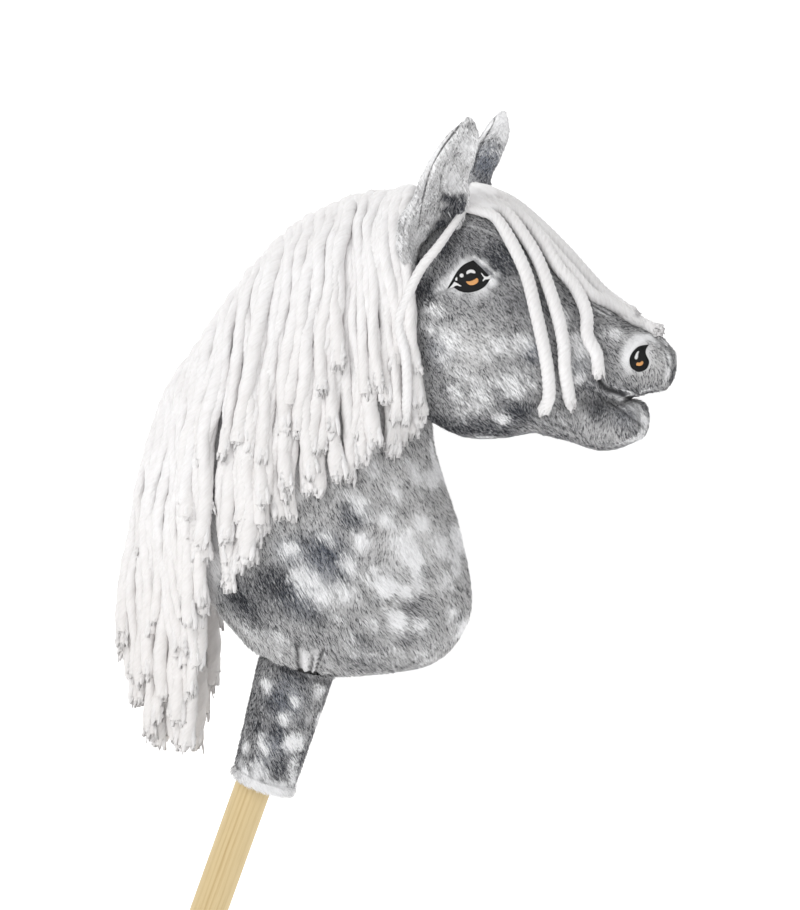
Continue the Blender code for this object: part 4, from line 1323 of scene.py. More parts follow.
def maneStrands(bodyTree):
    # Layer by layer, each one over the last and shorter, so that the cut ends lie in steps.
    ends = curveThrough(maneLook["ends"], 1.0)
    chance = random.Random(7)
    layers = []
    for layer, columns in enumerate(maneLook["columns"]):
        least, most = maneLook["shorter"][layer]
        strands = []
        for k in range(columns):
            place = (k + 0.5 * (layer % 2) + chance.uniform(-0.3, 0.3)) / columns
            place *= 1.0 - maneLook["inset"] * layer
            px, py, turn = ends[int(np.clip(place, 0.0, 1.0) * (len(ends) - 1))]
            back = float(smoothStep(*maneLook["setBack"], turn)) * maneLook["rootTurn"]
            root, out = crestPoint(math.radians(turn - back))
            end = planePoint(px, py, -0.04)
            tail = float(smoothStep(*maneLook["tailTurns"], turn))
            longest = root.z - end.z
            end.z += chance.uniform(least, most) * (1.0 + maneLook["tailSteps"] * tail)
            end.z = min(end.z, root.z - longest * maneLook["leastShare"])
            behind = max(0.0, (maneLook["tailFront"] - end.x) / maneLook["tailDepth"])
            curve = math.sqrt(max(0.0, 1.0 - behind ** 2))
            goal = -0.004 - maneLook["tailWidth"] * curve * (layer + 0.7) / 3.0
            goal -= maneLook["edgeOut"] * float(smoothStep(*maneLook["edge"], end.x))
            end.x = planePoint(px, py, goal * tail - 0.04 * (1.0 - tail)).x
            end.x += chance.uniform(-1.0, 1.0) * maneLook["drift"] * min(k, columns - 1 - k, 4) / 4.0
            lift = maneLook["lifts"][layer] * chance.uniform(0.9, 1.15)
            path = hangStrand(bodyTree, root, out, end, goal, lift, crestRise(turn), chance)
            size = chance.uniform(*maneLook["thickness"])
            strands.append((path, unevenSizes(path, size, layer * 40 + k)))
        layers.append(strands)
    return layers


def leanedBack(strands):
    # Behind the cheek the far fall of yarn lies a little further back than the near one.
    middle, halfWidth, longest = maneLook["farDrop"]
    leaned = []
    for points, sizes in strands:
        share = maneLook["farLean"] * smoothStep(*maneLook["farLeanFrom"], points[:, 0])
        share += maneLook["farTailLean"] * smoothStep(*maneLook["farTailFrom"], points[:, 0])
        away = abs(points[-1, 0] - middle)
        longer = longest * (1.0 - smoothStep(0.6 * halfWidth, 1.4 * halfWidth, away))
        fall = longer * np.linspace(0.0, 1.0, len(points)) ** 2
        leaned.append((points - np.stack((points[:, 1] * share, 0.0 * fall, fall), axis=1), sizes))
    return leaned


# Painted shade on the yarn: strands that hang low and far back are a little greyer, most of all near their
# ends and on the far side, which lies in shadow; the root value is a light grey over all of the yarn.
maneShade = {
    "root": 0.08,
    "end": 0.30,
    "endFrom": (0.45, 1.0),
    "low": 0.25,
    "backFrom": (0.20, 0.10),
    "lowFrom": (0.72, 0.56),
    "farLow": 0.5,
}


def maneGreyAndShade(points, share):
    back = smoothStep(*maneShade["backFrom"], points[:, 0])
    low = back * smoothStep(*maneShade["lowFrom"], points[:, 2])
    far = np.where(points[:, 1] > 0.0, maneShade["farLow"], 0.0) * low
    end = smoothStep(*maneShade["endFrom"], share)
    return np.clip(maneShade["root"] + maneShade["end"] * end + maneShade["low"] * low + far, 0.0, 1.0)


def endGreyAndShade(points, share):
    # The opened ends take the yarn's grey and painted shade as on its later part.
    return maneGreyAndShade(points, 0.3 + 0.4 * share)


def makeMane():
    layers = maneStrands(treeOf(neckSkin, headSkin))
    for side, word in ((1, "right"), (-1, "left")):
        for number, strands in enumerate(layers, 1):
            if side < 0:
                strands = leanedBack(mirrored(strands))
            names = (f"mane_yarn_{word}_{number}", f"mane_ends_{word}_{number}")
            chance = random.Random(100 + number + 10 * side)
            sewYarn(names, strands, yarnLook, endLook, (maneGreyAndShade, endGreyAndShade), chance, f"mane_{word}")


makeMane()


# Forelock: thick strands sewn across the poll that run down the forehead and part over the face

forelockLook = {
    "radius": 0.0043,
    "plies": 6,
    "relief": 0.06,
    "sides": 24,
    "spacing": 0.0018,
    "twist": 0.026,
    "seat": 0.0006,
    "rootSize": 0.72,
    "thickens": 0.045,
    "step": 0.0045,
    "slim": {"temple": 0.74},
    "greyAndShade": 0.10,
    "ends": {"inside": 0.009, "beyond": (0.0, 0.0032), "flare": (1.15, 1.35), "curl": 0.0010, "narrows": 3},
    # Pixels that each strand passes, from its root, and how far it is lifted over what lies below it.
    "strands": {
        "bridge": ([(472, 186), (500, 199), (530, 218), (559, 245), (583, 274), (610, 299), (636, 318),
                    (656, 334)], -0.0024),
        "nose": ([(471, 191), (498, 206), (525, 230), (550, 257), (569, 279), (586, 298), (606, 309),
                  (632, 319)], 0.0),
        "lip": ([(469, 197), (492, 208), (516, 221), (537, 245), (554, 271), (571, 291), (583, 315),
                 (586, 337), (597, 354), (594, 374)], 0.0),
        "cheekFront": ([(467, 203), (484, 209), (501, 216), (520, 240), (535, 264), (547, 293), (557, 322),
                        (562, 346), (564, 371), (569, 399)], 0.0),
        "cheekBack": ([(465, 212), (480, 216), (494, 223), (511, 250), (525, 279), (535, 313), (542, 344),
                       (547, 371), (548, 392), (541, 406)], 0.0),
        "temple": ([(465, 215), (456, 230), (443, 250), (429, 272), (419, 298), (415, 322), (420, 350),
                    (424, 380), (425, 404)], 0.018),
    },
    # The felted root: the strands that it joins, how far it reaches, its thickness.
    "rootStrands": ("bridge", "nose", "lip", "cheekFront", "cheekBack"),
    "rootLength": (0.020, 0.034),
    "rootThickness": 0.0050,
    "rootCounts": (28, 16),
    "rootWave": 0.00035,
}


def forelockPaths():
    paths = {}
    for word, (pixels, lift) in forelockLook["strands"].items():
        stops = []
        for k, (px, py) in enumerate(pixels):
            near, normal = spot(headTree, px, py, -0.004)
            rise = forelockLook["radius"] + forelockLook["seat"] + lift * k / len(pixels)
            stops.append(near + normal * rise)
        paths[word] = curveThrough(stops, forelockLook["step"])
    return paths


def pointAlong(path, along):
    low = min(int(along), len(path) - 2)
    return path[low] + (path[low + 1] - path[low]) * (along - low)


def forelockRoot(name, paths, side):
    # A flat felted sheet where the strands are sewn down side by side, cut straight at its back.
    columns, rows = forelockLook["rootCounts"]
    least, most = forelockLook["rootLength"]
    seat = forelockLook["seat"]
    joined = [paths[word] for word in forelockLook["rootStrands"]]
    top, bottom = [], []
    for i in range(columns):
        across = i / (columns - 1)
        lane = across * (len(joined) - 1)
        which = min(int(lane), len(joined) - 2)
        part = lane - which
        ripple = math.cos(lane * 2.0 * math.pi)
        length = least + (most - least) * (0.5 + 0.5 * ripple) * (1.0 - 0.4 * across)
        for j in range(rows):
            along = length * j / (rows - 1) / forelockLook["step"]
            first, second = (pointAlong(path, along) for path in joined[which:which + 2])
            near, normal, _, _ = headTree.find_nearest(Vector(first * (1.0 - part) + second * part))
            inwards = min(min(across, 1.0 - across) * (columns - 1) / 2.0, (rows - 1 - j) / 3.0, 1.0)
            thick = forelockLook["rootThickness"] * math.sqrt(max(0.06, 1.0 - (1.0 - inwards) ** 2))
            top.append(near + normal * (seat + thick * 1.35 + forelockLook["rootWave"] * ripple))
            bottom.append(near + normal * seat * 0.5)
    verts = [(p.x, p.y * side, p.z) for p in top + bottom]
    total, faces = len(top), []
    for i in range(columns - 1):
        for j in range(rows - 1):
            a = i * rows + j
            faces.append((a, a + 1, a + rows + 1, a + rows))
            faces.append((total + a, total + a + rows, total + a + rows + 1, total + a + 1))
    rim = [i * rows for i in range(columns)] + [(columns - 1) * rows + j for j in range(1, rows)]
    rim += [i * rows + rows - 1 for i in range(columns - 2, -1, -1)] + [j for j in range(rows - 2, 0, -1)]
    for a, b in zip(rim, rim[1:] + rim[:1]):
        faces.append((a, b, total + b, total + a))
    mesh = closedMesh(name, verts, faces)
    setValues(mesh, "ring", [(x * 60.0, y * 60.0, 0.0) for x, y, z in verts])
    finishPiece(addObject(name, mesh, whiteYarn), "white_yarn")


def forelockDullness(points, share):
    return np.full(len(points), forelockLook["greyAndShade"])


def makeForelock():
    paths = forelockPaths()
    thin = forelockLook["rootSize"]
    right = []
    for word, path in paths.items():
        reach = np.arange(len(path)) * forelockLook["step"]
        sizes = thin + (1.0 - thin) * smoothStep(0.0, forelockLook["thickens"], reach)
        right.append((path, sizes * forelockLook["slim"].get(word, 1.0)))
    ends = {**endLook, **forelockLook["ends"]}
    for side, word in ((1, "right"), (-1, "left")):
        strands = right if side > 0 else mirrored(right)
        names = (f"forelock_yarn_{word}", f"forelock_ends_{word}")
        solids = [f"forelock_{word}_{k}" for k in range(1, 5)]
        chance = random.Random(40 + side)
        sewYarn(names, strands, forelockLook, ends, (forelockDullness, forelockDullness), chance, *solids)
        forelockRoot(f"forelock_root_{word}", paths, side)


makeForelock()


# Ears, sleeve and hem

earSeam = [
    ([(464, 119), (452, 135), (441, 150), (432, 167), (427, 181), (423, 198), (421, 210),
      (419, 226)], 1.0, 1.5),
]
earFields = {
    "back": {
        **plainFields, "toneAndShade": 0.82, "pale": 0.45, "elsewhere": 0.5, "way": (-0.35, 0.0, -0.94),
        "haloSpots": [(433, 156, 15, 0.7), (441, 146, 9, 0.5), (422, 174, 13, 0.45), (412, 205, 12, 0.25)],
        # The two spots at the base are painted shade at its bottom and left edge; the one near the tip
        # darkens it there.
        "toneAndShadeSpots": [(410, 254, 16, -0.4), (457, 124, 10, -0.5), (402, 226, 12, -0.25)],
        "seamAndCreaseShadeLines": earSeam,
    },
    "lining": {
        **plainFields, "toneAndShade": 0.78, "pale": 0.4, "elsewhere": 0.0, "way": (-0.35, 0.0, -0.94),
        "haloSpots": [(468, 145, 13, 0.6), (418, 236, 12, 0.3), (414, 222, 12, 0.3), (466, 158, 10, 0.35),
                      (451, 177, 11, 0.7), (446, 169, 8, 0.45), (457, 186, 8, 0.5), (430, 195, 8, 0.3),
                      (428, 215, 8, 0.2)],
        # Most of these spots are painted shade down in the ear's hollow, under its fold and at its base; the
        # weaker ones near the top are the print's mottling.
        "toneAndShadeSpots": [(445, 197, 8, -0.8), (453, 202, 10, -0.9), (462, 199, 10, -0.9), (468, 188, 8, -0.8),
                      (463, 210, 12, -0.9), (454, 214, 12, -0.9), (446, 211, 9, -0.8), (449, 226, 13, -1.0),
                      (445, 236, 11, -1.0), (440, 226, 6, -0.7), (439, 246, 9, -1.0), (472, 126, 8, -0.3),
                      (455, 155, 9, -0.3), (434, 258, 8, -0.8), (416, 262, 8, -0.4)],
        # Dark lines: the ear's seam, and painted shade along the folds of the lining.
        "seamAndCreaseShadeLines": [
            *earSeam, ([(440, 188), (446, 195), (457, 199), (468, 190)], 1.2, 0.6),
            ([(441, 180), (443, 169), (447, 161)], 0.9, 0.45),
            ([(441, 176), (440, 190), (439, 204), (435, 219), (432, 228), (430, 250)], 1.1, 0.6),
        ],
    },
}
# The far ear is seen from its other side: pale at the tip, bluish and speckled below.
farBack = {
    **earFields["back"], "toneAndShade": 0.66, "pale": 0.35, "asSeen": True,
    "haloSpots": [(500, 120, 22, 0.9), (486, 130, 12, 0.7), (506, 136, 12, 0.5), (478, 142, 10, 0.4)],
    "toneAndShadeSpots": [(486, 172, 22, -0.35), (497, 180, 16, -0.2)],
    "coolSpots": [(484, 160, 34, 0.7)],
    "seamAndCreaseShadeLines": [([(498, 112), (491, 128), (482, 144), (477, 157), (474, 170)], 1.0, 1.4)],
}
# The ear swells at its base and lies back at its front edge.
earForm = {
    "lines": [
        ([(440, 184), (441, 172), (446, 161)], 2.0, 0.8), ([(441, 190), (449, 198), (462, 197)], 3.0, 1.4),
    ],
    "hollows": [(452, 214, 14, 1.6), (451, 178, 9, -1.2)],
    "moves": [(484, 172, 28, (-4.0, 0.0, 0.0)), (478, 205, 24, (-5.0, 0.0, 0.0)),
              (410, 236, 44, (-6.5, 5.0, 0.0)), (486, 155, 40, (-5.5, 0.0, 0.0))],
}
farEarForm = {**earForm, "moves": [*earForm["moves"], (468, 118, 44, (0.0, 0.0, 3.4))]}
sleeveFields = {
    **plainFields,
    "toneAndShade": 0.43,
    "elsewhere": 0.4,
    "dapples": [
        (294, 699, 8), (284, 717, 8), (294, 741, 12), (260, 770, 12), (261, 745, 9), (319, 690, 9),
        (317, 719, 8), (292, 780, 11), (246, 744, 8), (267, 686, 7), (308, 752, 7), (243, 775, 9),
        (305, 770, 9),
    ],
    "toneAndShadeSpots": [
        (290, 672, 22, -0.45), (305, 680, 14, -0.3), (275, 700, 18, -0.35), (304, 723, 12, -0.6),
        (279, 731, 14, -0.6), (292, 707, 12, -0.3), (258, 725, 12, -0.5), (279, 768, 13, -0.6),
        (252, 758, 9, -0.3), (300, 760, 9, -0.3),
    ],
    "coolSpots": [(285, 700, 34, 0.5), (275, 745, 26, 0.5), (262, 765, 16, 0.3)],
    "haloSpots": [(236, 787, 9, 0.8), (250, 791, 9, 0.8), (265, 795, 9, 0.8), (280, 797, 9, 0.8),
                  (292, 797, 8, 0.8), (240, 780, 7, 0.4), (290, 789, 7, 0.4), (246, 746, 10, 0.55),
                  (241, 762, 9, 0.55), (267, 684, 9, 0.45), (326, 698, 8, 0.45), (318, 726, 8, 0.5),
                  (258, 772, 12, 0.4)],
    # Dark lines: painted shade in the sleeve's wrinkles and in the gather crease at its top.
    "seamAndCreaseShadeLines": [
        ([(258, 698), (257, 711), (259, 723)], 1.2, 0.5), ([(252, 712), (249, 726), (246, 738)], 1.0, 0.35),
        ([(268, 664), (290, 671), (312, 679), (334, 683)], 2.2, 0.6),
    ],
}
hemFields = {
    **plainFields, "elsewhere": 0.0, "way": (0.36, 0.0, -0.93), "haloSpots": [(264, 791, 60, 0.95)],
}
sleeveForm = {
    "lines": [
        ([(258, 690), (257, 711), (260, 728)], 2.0, 1.3), ([(250, 712), (248, 728), (245, 742)], 2.0, 1.0),
        ([(266, 672), (268, 690), (266, 705)], 2.2, 0.9), ([(312, 684), (306, 700), (305, 716)], 3.0, 0.8),
        ([(285, 742), (276, 760), (274, 775)], 3.0, 0.6),
    ],
    "hollows": [],
    "moves": [],
}
earCloth = {"voxel": 0.0011, "rounds": 8, "growth": 0.0004}
sleeveCloth = {"voxel": 0.0013, "rounds": 8, "growth": 0.0002}
hemCloth = {"voxel": 0.0010, "rounds": 6, "growth": 0.0}


def makeSoftPiece(name, slotName, nodeName, fields, cloth, length, form=None, tree=None):
    mesh = smoothSkin(name, [nodeName], **cloth)
    if form:
        modelForm(mesh, form, tree or treeOf(mesh))
    paintFields(mesh, treeOf(mesh) if fields["asSeen"] else foldedTree(mesh), fields)
    piece = addObject(name, mesh, coat)
    finishPiece(piece, slotName, nodeName)
    return piece, growPile(f"{name}_pile", mesh, length, slotName)


earTree = nodesTree("ear_back_right", "ear_lining_right")
for word in ("right", "left"):
    for what, slotName in (("back", "ear_plush"), ("lining", "ear_lining_plush")):
        isFarBack = (word, what) == ("left", "back")
        nodeName = f"ear_{what}_{word}"
        piece, _ = makeSoftPiece(
            f"{nodeName}_cloth", slotName, nodeName, farBack if isFarBack else earFields[what], earCloth,
            pileLook["ear"], earForm if word == "right" else farEarForm, earTree,
        )
sleevePiece, sleevePile = makeSoftPiece(
    "sleeve_cloth", "sleeve_plush", "sleeve", sleeveFields, sleeveCloth, pileLook["sleeve"], sleeveForm
)
hemPiece, hemPile = makeSoftPiece(
    "hem_cloth", "hem_pile", "sleeve_hem", hemFields, hemCloth, pileLook["hem"]
)
# The sleeve's cloth was cut as a strip that goes once round it and is as long as it hangs, without its hem.
print("ears and sleeve made")


# Eyes and nostrils: patches of satin stitch, one over the other

stitchLook = {
    "grain": 0.9,
    "height": 0.00055,
    "edge": 1.4,
    "sunk": 0.0006,
    "threads": 2600.0,
    "uneven": (900.0, 120.0),
    # How far a thread's colour is darkened in the grooves between threads, as painted shade.
    "gap": 0.55,
}


def threadGroup():
    # Rayon threads that lie side by side along one direction of each patch, not quite evenly.
    group, given, out = shaderGroup(
        "satinThreads", [("Across", "Float", 0.0), ("Along", "Float", 0.0)], [("Ridge", "Float")]
    )
    slowX, slowY = (calc(group, "MULTIPLY", given[label], size)
                    for label, size in zip(("Across", "Along"), stitchLook["uneven"]))
    shift = noise(group, vectorOf(group, slowX, slowY, 0.0), 1.0, 1.0)
    regular = calc(group, "MULTIPLY", given["Across"], stitchLook["threads"] * fullTurn)
    bent = calc(group, "MULTIPLY_ADD", shift, 2.0, regular)
    group.links.new(calc(group, "MULTIPLY_ADD", calc(group, "SINE", bent), 0.5, 0.5), out["Ridge"])
    return group


satinThreads = threadGroup()


def threadMaterial(name, colour, shine):
    material, tree, sockets = newMaterial(name, Roughness=shine, Specular_IOR_Level=0.2)
    across, along = readValue(tree, "across"), readValue(tree, "alongStitch")
    ridge = useGroup(tree, satinThreads, Across=across, Along=along)["Ridge"]
    # The grooves between the threads are painted darker, as shade.
    dark = tuple(part * stitchLook["gap"] for part in colour[:3]) + (1.0,)
    closeMaterial(tree, sockets, mixColour(tree, ridge, dark, colour), ridge, Strength=0.35, Distance=0.0003)
    return material


threadColours = (
    threadMaterial("blackThread", tint(15, 16, 17), 0.5),
    threadMaterial("whiteThread", tint(248), 0.55),
    threadMaterial("orangeThread", tint(243, 178, 112), 0.5),
)


def outlineOf(runs):
    # A closed outline in pixels; each run is a smooth curve and the runs meet in corners.
    points = []
    for run in runs:
        points += [tuple(point[:2]) for point in curveThrough([(x, y, 0.0) for x, y in run], 0.6)[:-1]]
    return points


def edgeDistance(point, edge, ways):
    # How far a point lies from a closed outline; ways lead from each of its corners to the next.
    share = np.clip(np.einsum("ij,ij->i", point - edge, ways) / np.einsum("ij,ij->i", ways, ways), 0.0, 1.0)
    return np.min(np.linalg.norm(edge + ways * share[:, None] - point, axis=1))


def stitchPatch(outline, tree, lean, level):
    # Points, faces and thread values of one closed patch that lies on the surface under an outline.
    grain = stitchLook["grain"]
    edge = np.array(outline)
    ways = np.roll(edge, -1, axis=0) - edge
    low, high = edge.min(axis=0), edge.max(axis=0)
    inner = [(x, y) for x in np.arange(low[0], high[0], grain) for y in np.arange(low[1], high[1], grain)]
    kept = [point for point in inner if edgeDistance(point, edge, ways) > grain * 0.5]
    flat = [Vector(point) for point in list(map(tuple, edge)) + kept]
    rim = [(i, (i + 1) % len(edge)) for i in range(len(edge))]
    made = delaunay_2d_cdt(flat, rim, [], 1, 1e-5)
    spots, faces = made[0], made[2]
    top, bottom, across, along = [], [], [], []
    threads = np.array((math.cos(lean), math.sin(lean)))
    for point in spots:
        point = np.array(point)
        depth = min(edgeDistance(point, edge, ways) / stitchLook["edge"], 1.0)
        swell = math.sqrt(max(0.0, 1.0 - (1.0 - depth) ** 2))
        near, normal = spot(tree, point[0], point[1], -0.045)
        top.append(near + normal * (level + stitchLook["height"] * (0.15 + 0.85 * swell)))
        bottom.append(near - normal * stitchLook["sunk"])
        across.append(float(point @ threads) * pixelSize)
        along.append(float(point @ np.array((-threads[1], threads[0]))) * pixelSize)
    # The two skins are joined along the edges that only one face has.
    sides = {}
    for face in faces:
        for pair in zip(face, [*face[1:], face[0]]):
            if pair[::-1] in sides:
                del sides[pair[::-1]]
            else:
                sides[pair] = True
    total = len(spots)
    shell = [tuple(face) for face in faces] + [tuple(total + i for i in reversed(face)) for face in faces]
    shell += [(b, a, total + a, total + b) for a, b in sides]
    return top + bottom, shell, across * 2, along * 2


def embroider(name, patches, tree, side):
    verts, faces, across, along, slots = [], [], [], [], []
    for runs, lean, level, slot in patches:
        points, shell, wide, long = stitchPatch(outlineOf(runs), tree, math.radians(lean), level)
        start = len(verts)
        verts += [(p.x, p.y * side, p.z) for p in points]
        faces += [tuple(start + i for i in face) for face in shell]
        across += wide
        along += long
        slots += [slot] * len(shell)
    mesh = closedMesh(name, verts, faces)
    for material in threadColours:
        mesh.materials.append(material)
    mesh.polygons.foreach_set("material_index", slots)
    setValues(mesh, "across", across)
    setValues(mesh, "alongStitch", along)
    return addObject(name, mesh)


# Each patch: the runs of its outline in pixels, the lean of its threads in degrees, its level over the plush,
# the number of its thread's colour.
eyePatches = [
    ([
        [(473.3, 260.2), (478.5, 265.0), (484.0, 270.5), (490.8, 277.6)],
        [(490.8, 277.6), (487.0, 284.0), (482.4, 288.3), (475.7, 291.3), (467.0, 292.7), (459.2, 291.0),
         (454.0, 287.6)],
        [(454.0, 287.6), (450.5, 287.8), (446.8, 289.4)],
        [(446.8, 289.4), (451.5, 281.0), (455.2, 274.5), (459.2, 268.7), (465.0, 263.8), (473.3, 260.2)],
    ], 12.0, 0.0, 0),
    ([
        [(480.0, 271.0), (482.2, 272.8), (484.4, 275.6), (487.2, 276.4), (490.2, 275.0)],
        [(490.2, 275.0), (491.4, 277.2), (488.6, 279.6), (485.2, 280.2), (482.8, 282.8)],
        [(482.8, 282.8), (482.3, 280.4), (483.8, 278.0), (482.0, 275.6), (480.0, 271.0)],
    ], 50.0, 0.0003, 1),
    ([
        [(456.6, 276.4), (458.0, 278.3), (457.6, 280.8)],
        [(457.6, 280.8), (456.0, 281.2), (455.0, 279.4), (456.6, 276.4)],
    ], 80.0, 0.0003, 1),
    ([
        [(454.3, 281.4), (457.6, 283.0), (460.4, 284.9), (465.0, 287.6)],
        [(465.0, 287.6), (460.6, 286.9), (457.0, 285.9), (453.6, 287.3), (449.4, 288.3)],
        [(449.4, 288.3), (451.0, 285.4), (452.8, 283.8), (454.3, 281.4)],
    ], 70.0, 0.0003, 1),
    ([
        [(466.0, 274.2), (466.8, 271.0), (470.6, 269.2), (474.6, 270.2), (476.2, 272.6)],
        [(476.2, 272.6), (475.0, 273.9), (471.0, 273.1), (467.6, 274.5), (466.0, 274.2)],
    ], 10.0, 0.0003, 1),
    ([
        [(464.2, 275.6), (463.5, 277.3), (461.8, 278.0), (460.1, 277.3), (459.4, 275.6), (460.1, 273.9),
         (461.8, 273.2), (463.5, 273.9), (464.2, 275.6)],
    ], 10.0, 0.0003, 1),
    ([
        [(465.2, 280.6), (468.0, 281.1), (471.2, 280.8), (474.4, 279.4), (477.2, 277.6)],
        [(477.2, 277.6), (479.0, 279.8), (478.2, 282.8), (474.6, 285.2), (470.4, 285.6), (467.2, 283.9),
         (465.2, 280.6)],
    ], 35.0, 0.0003, 2),
]
nostrilPatches = [
    ([
        [(649.0, 344.6), (642.0, 345.4), (636.7, 347.7), (632.1, 352.7), (629.6, 358.5), (629.9, 364.8),
         (632.7, 369.4), (637.3, 371.8), (641.9, 371.5), (646.5, 368.8), (648.9, 364.2), (648.8, 360.2),
         (646.5, 355.6), (645.6, 352.1), (646.4, 348.5), (649.0, 344.6)],
    ], 10.0, 0.0, 0),
    ([
        [(639.9, 350.2), (636.7, 352.2), (634.5, 356.2), (634.3, 359.0), (636.5, 360.3)],
        [(636.5, 360.3), (638.2, 358.0), (638.6, 354.0), (639.9, 350.2)],
    ], 60.0, 0.0003, 1),
    ([
        [(635.7, 364.4), (637.2, 362.2), (639.6, 362.5), (642.1, 360.6)],
        [(642.1, 360.6), (643.5, 362.4), (642.6, 364.8), (639.6, 366.4), (636.8, 366.0), (635.7, 364.4)],
    ], 40.0, 0.0003, 2),
]


for what, patches in (("eye", eyePatches), ("nostril", nostrilPatches)):
    for side, word in ((1, "right"), (-1, "left")):
        item = embroider(f"{what}_stitches_{word}", patches, headTree, side)
        finishPiece(item, "black_embroidery", f"{what}_{word}")
print("embroidery made")


# Wood, tape and tie: the pieces of the frame that keep their shape

pineLook = {
    "pale": tint(208, 187, 143),
    "dark": tint(178, 149, 100),
    "lean": math.radians(20.0),
    "grain": 260.0,
    "stretch": 0.035,
    "warp": 0.012,
    "warpNoise": (60.0, 2.0),
    "poreNoise": (900.0, 3.0, 0.7),
    "band": (0.001, 0.0045),
    "lines": 0.6,
    "pores": 0.45,
}


def pineMaterial():
    # Planed pine: fine straight grain along the stick, closer together in a middle band.
    material, tree, sockets = newMaterial("pine", Roughness=0.55, Specular_IOR_Level=0.3)
    parts = partsOf(tree, turned(tree, objectPlace(tree), "Y", -pineLook["lean"]))
    slow = calc(tree, "MULTIPLY", parts["Z"], pineLook["stretch"])
    where = vectorOf(tree, parts["X"], parts["Y"], slow)
    bent = noise(tree, where, *pineLook["warpNoise"])
    across = calc(tree, "MULTIPLY_ADD", bent, pineLook["warp"], parts["X"])
    wave = calc(tree, "SINE", calc(tree, "MULTIPLY", across, pineLook["grain"] * fullTurn))
    rings = calc(tree, "POWER", calc(tree, "MULTIPLY_ADD", wave, 0.5, 0.5), 3.0)
    band = between(tree, calc(tree, "ABSOLUTE", parts["X"]), *pineLook["band"], 1.0, 0.35)
    lines = calc(tree, "MULTIPLY", calc(tree, "MULTIPLY", rings, band), pineLook["lines"])
    fine = noise(tree, where, *pineLook["poreNoise"])
    pores = calc(tree, "MULTIPLY", between(tree, fine, 0.5, 0.75), pineLook["pores"])
    colour = mixColour(tree, calc(tree, "ADD", lines, pores), pineLook["pale"], pineLook["dark"])
    hollow = calc(tree, "SUBTRACT", 1.0, fine)  # the pores are sunk
    closeMaterial(tree, sockets, colour, hollow, Strength=0.25, Distance=0.0002)
    return material


def weaveGroup():
    # Plain weave: two sets of threads that pass over and under each other.
    group, given, out = shaderGroup("plainWeave", [("Threads", "Float", 5000.0)], [("Weave", "Float")])
    parts = partsOf(group, objectPlace(group))
    x, y, z = (calc(group, "SINE", calc(group, "MULTIPLY", parts[axis], given["Threads"])) for axis in "XYZ")
    crossed = calc(group, "MULTIPLY", calc(group, "ADD", x, y), z)
    group.links.new(calc(group, "MULTIPLY_ADD", crossed, 0.25, 0.5), out["Weave"])
    return group


plainWeave = weaveGroup()


def wovenMaterial(name, low, high, threads, roughness):
    material, tree, sockets = newMaterial(name, Roughness=roughness, Specular_IOR_Level=0.15)
    weave = useGroup(tree, plainWeave, Threads=threads)["Weave"]
    # Where a thread dips under the other set, its colour is painted darker, as shade; the same weave gives
    # the bump.
    closeMaterial(tree, sockets, mixColour(tree, weave, low, high), weave, Strength=0.5, Distance=0.0003)
    return material


cotton = wovenMaterial("cottonTape", tint(206, 200, 190), tint(236, 233, 226), 5200.0, 0.9)
nylon = wovenMaterial("nylonTie", tint(196, 198, 200), tint(232, 233, 235), 9000.0, 0.35)
for name, material in (
    ("stick", pineMaterial()), ("mane_tape", cotton), ("forelock_tape", cotton), ("stick_tie", nylon),
):
    for slot in nodes[name].material_slots:
        slot.material = material
print("stick and tapes dressed")


# Stage: a pale floor, a pale backdrop behind the toy, soft lamps

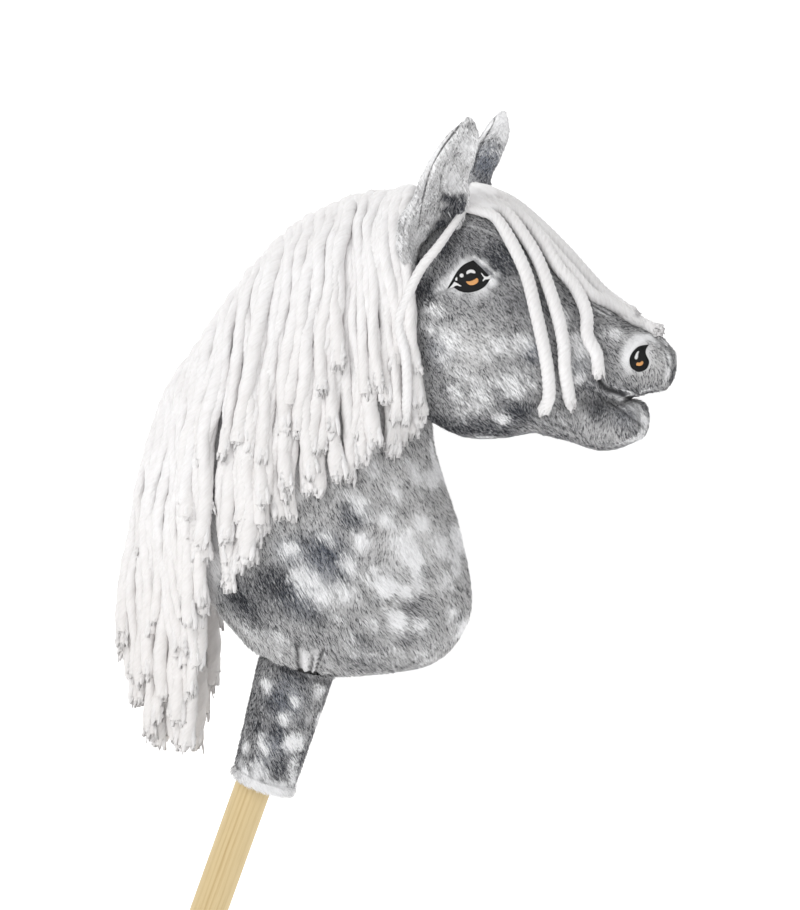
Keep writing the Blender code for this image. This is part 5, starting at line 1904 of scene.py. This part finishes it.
stage = {
    "floorSize": 6.0,
    "floorDrop": 0.006,
    "backdropDistance": 0.16,
    "paper": tint(238),
    "glow": 0.42,
    "world": 0.42,
    # Each lamp: its place, its size and its power.
    "lamps": {"key": ((-0.55, -1.3, 1.75), 0.9, 17.0), "fill": ((1.2, -1.4, 0.8), 1.4, 5.0)},
}


def stageMaterial():
    # White that still takes a soft shadow; seen from behind, the backdrop isn't there.
    material = bpy.data.materials.new("palePaper")
    material.use_nodes = True
    tree = material.node_tree
    tree.nodes.clear()
    glow = result(tree, "ShaderNodeEmission", Color=(1.0, 1.0, 1.0, 1.0), Strength=stage["glow"])
    paper = result(tree, "ShaderNodeBsdfDiffuse", Color=stage["paper"])
    lit = addNode(tree, "ShaderNodeAddShader")
    for socket, light in zip(lit.inputs, (glow, paper)):
        tree.links.new(light, socket)
    isBehind = addNode(tree, "ShaderNodeNewGeometry").outputs["Backfacing"]
    side = addNode(tree, "ShaderNodeMixShader", Fac=isBehind)
    tree.links.new(lit.outputs[0], side.inputs[1])
    tree.links.new(result(tree, "ShaderNodeBsdfTransparent"), side.inputs[2])
    tree.links.new(side.outputs[0], addNode(tree, "ShaderNodeOutputMaterial").inputs["Surface"])
    return material


def addPaper(name, corners, material):
    mesh = bpy.data.meshes.new(name)
    mesh.from_pydata(corners, [], [(0, 1, 2, 3)])
    mesh.update()
    addObject(name, mesh, material)


def makeStage():
    paper = stageMaterial()
    far, near = stage["floorSize"], stage["backdropDistance"]
    floor = cadBox[0].z - stage["floorDrop"]
    addPaper("floor", [(-far, -far, floor), (far, -far, floor), (far, far, floor), (-far, far, floor)], paper)
    wall = [(-far, near, floor), (far, near, floor), (far, near, far), (-far, near, far)]
    addPaper("backdrop", wall, paper)
    world = bpy.data.worlds.new("studio")
    bpy.context.scene.world = world
    world.use_nodes = True
    sky = world.node_tree.nodes["Background"].inputs
    sky["Color"].default_value = (1.0, 1.0, 1.0, 1.0)
    sky["Strength"].default_value = stage["world"]
    for name, (place, size, power) in stage["lamps"].items():
        light = bpy.data.lights.new(name, "AREA")
        light.size = size
        light.energy = power
        lamp = bpy.data.objects.new(name, light)
        bpy.context.scene.collection.objects.link(lamp)
        aim(lamp, place, camera["target"] - Vector(place))


makeStage()
bpy.context.scene.view_settings.view_transform = "Standard"
print("stage made")
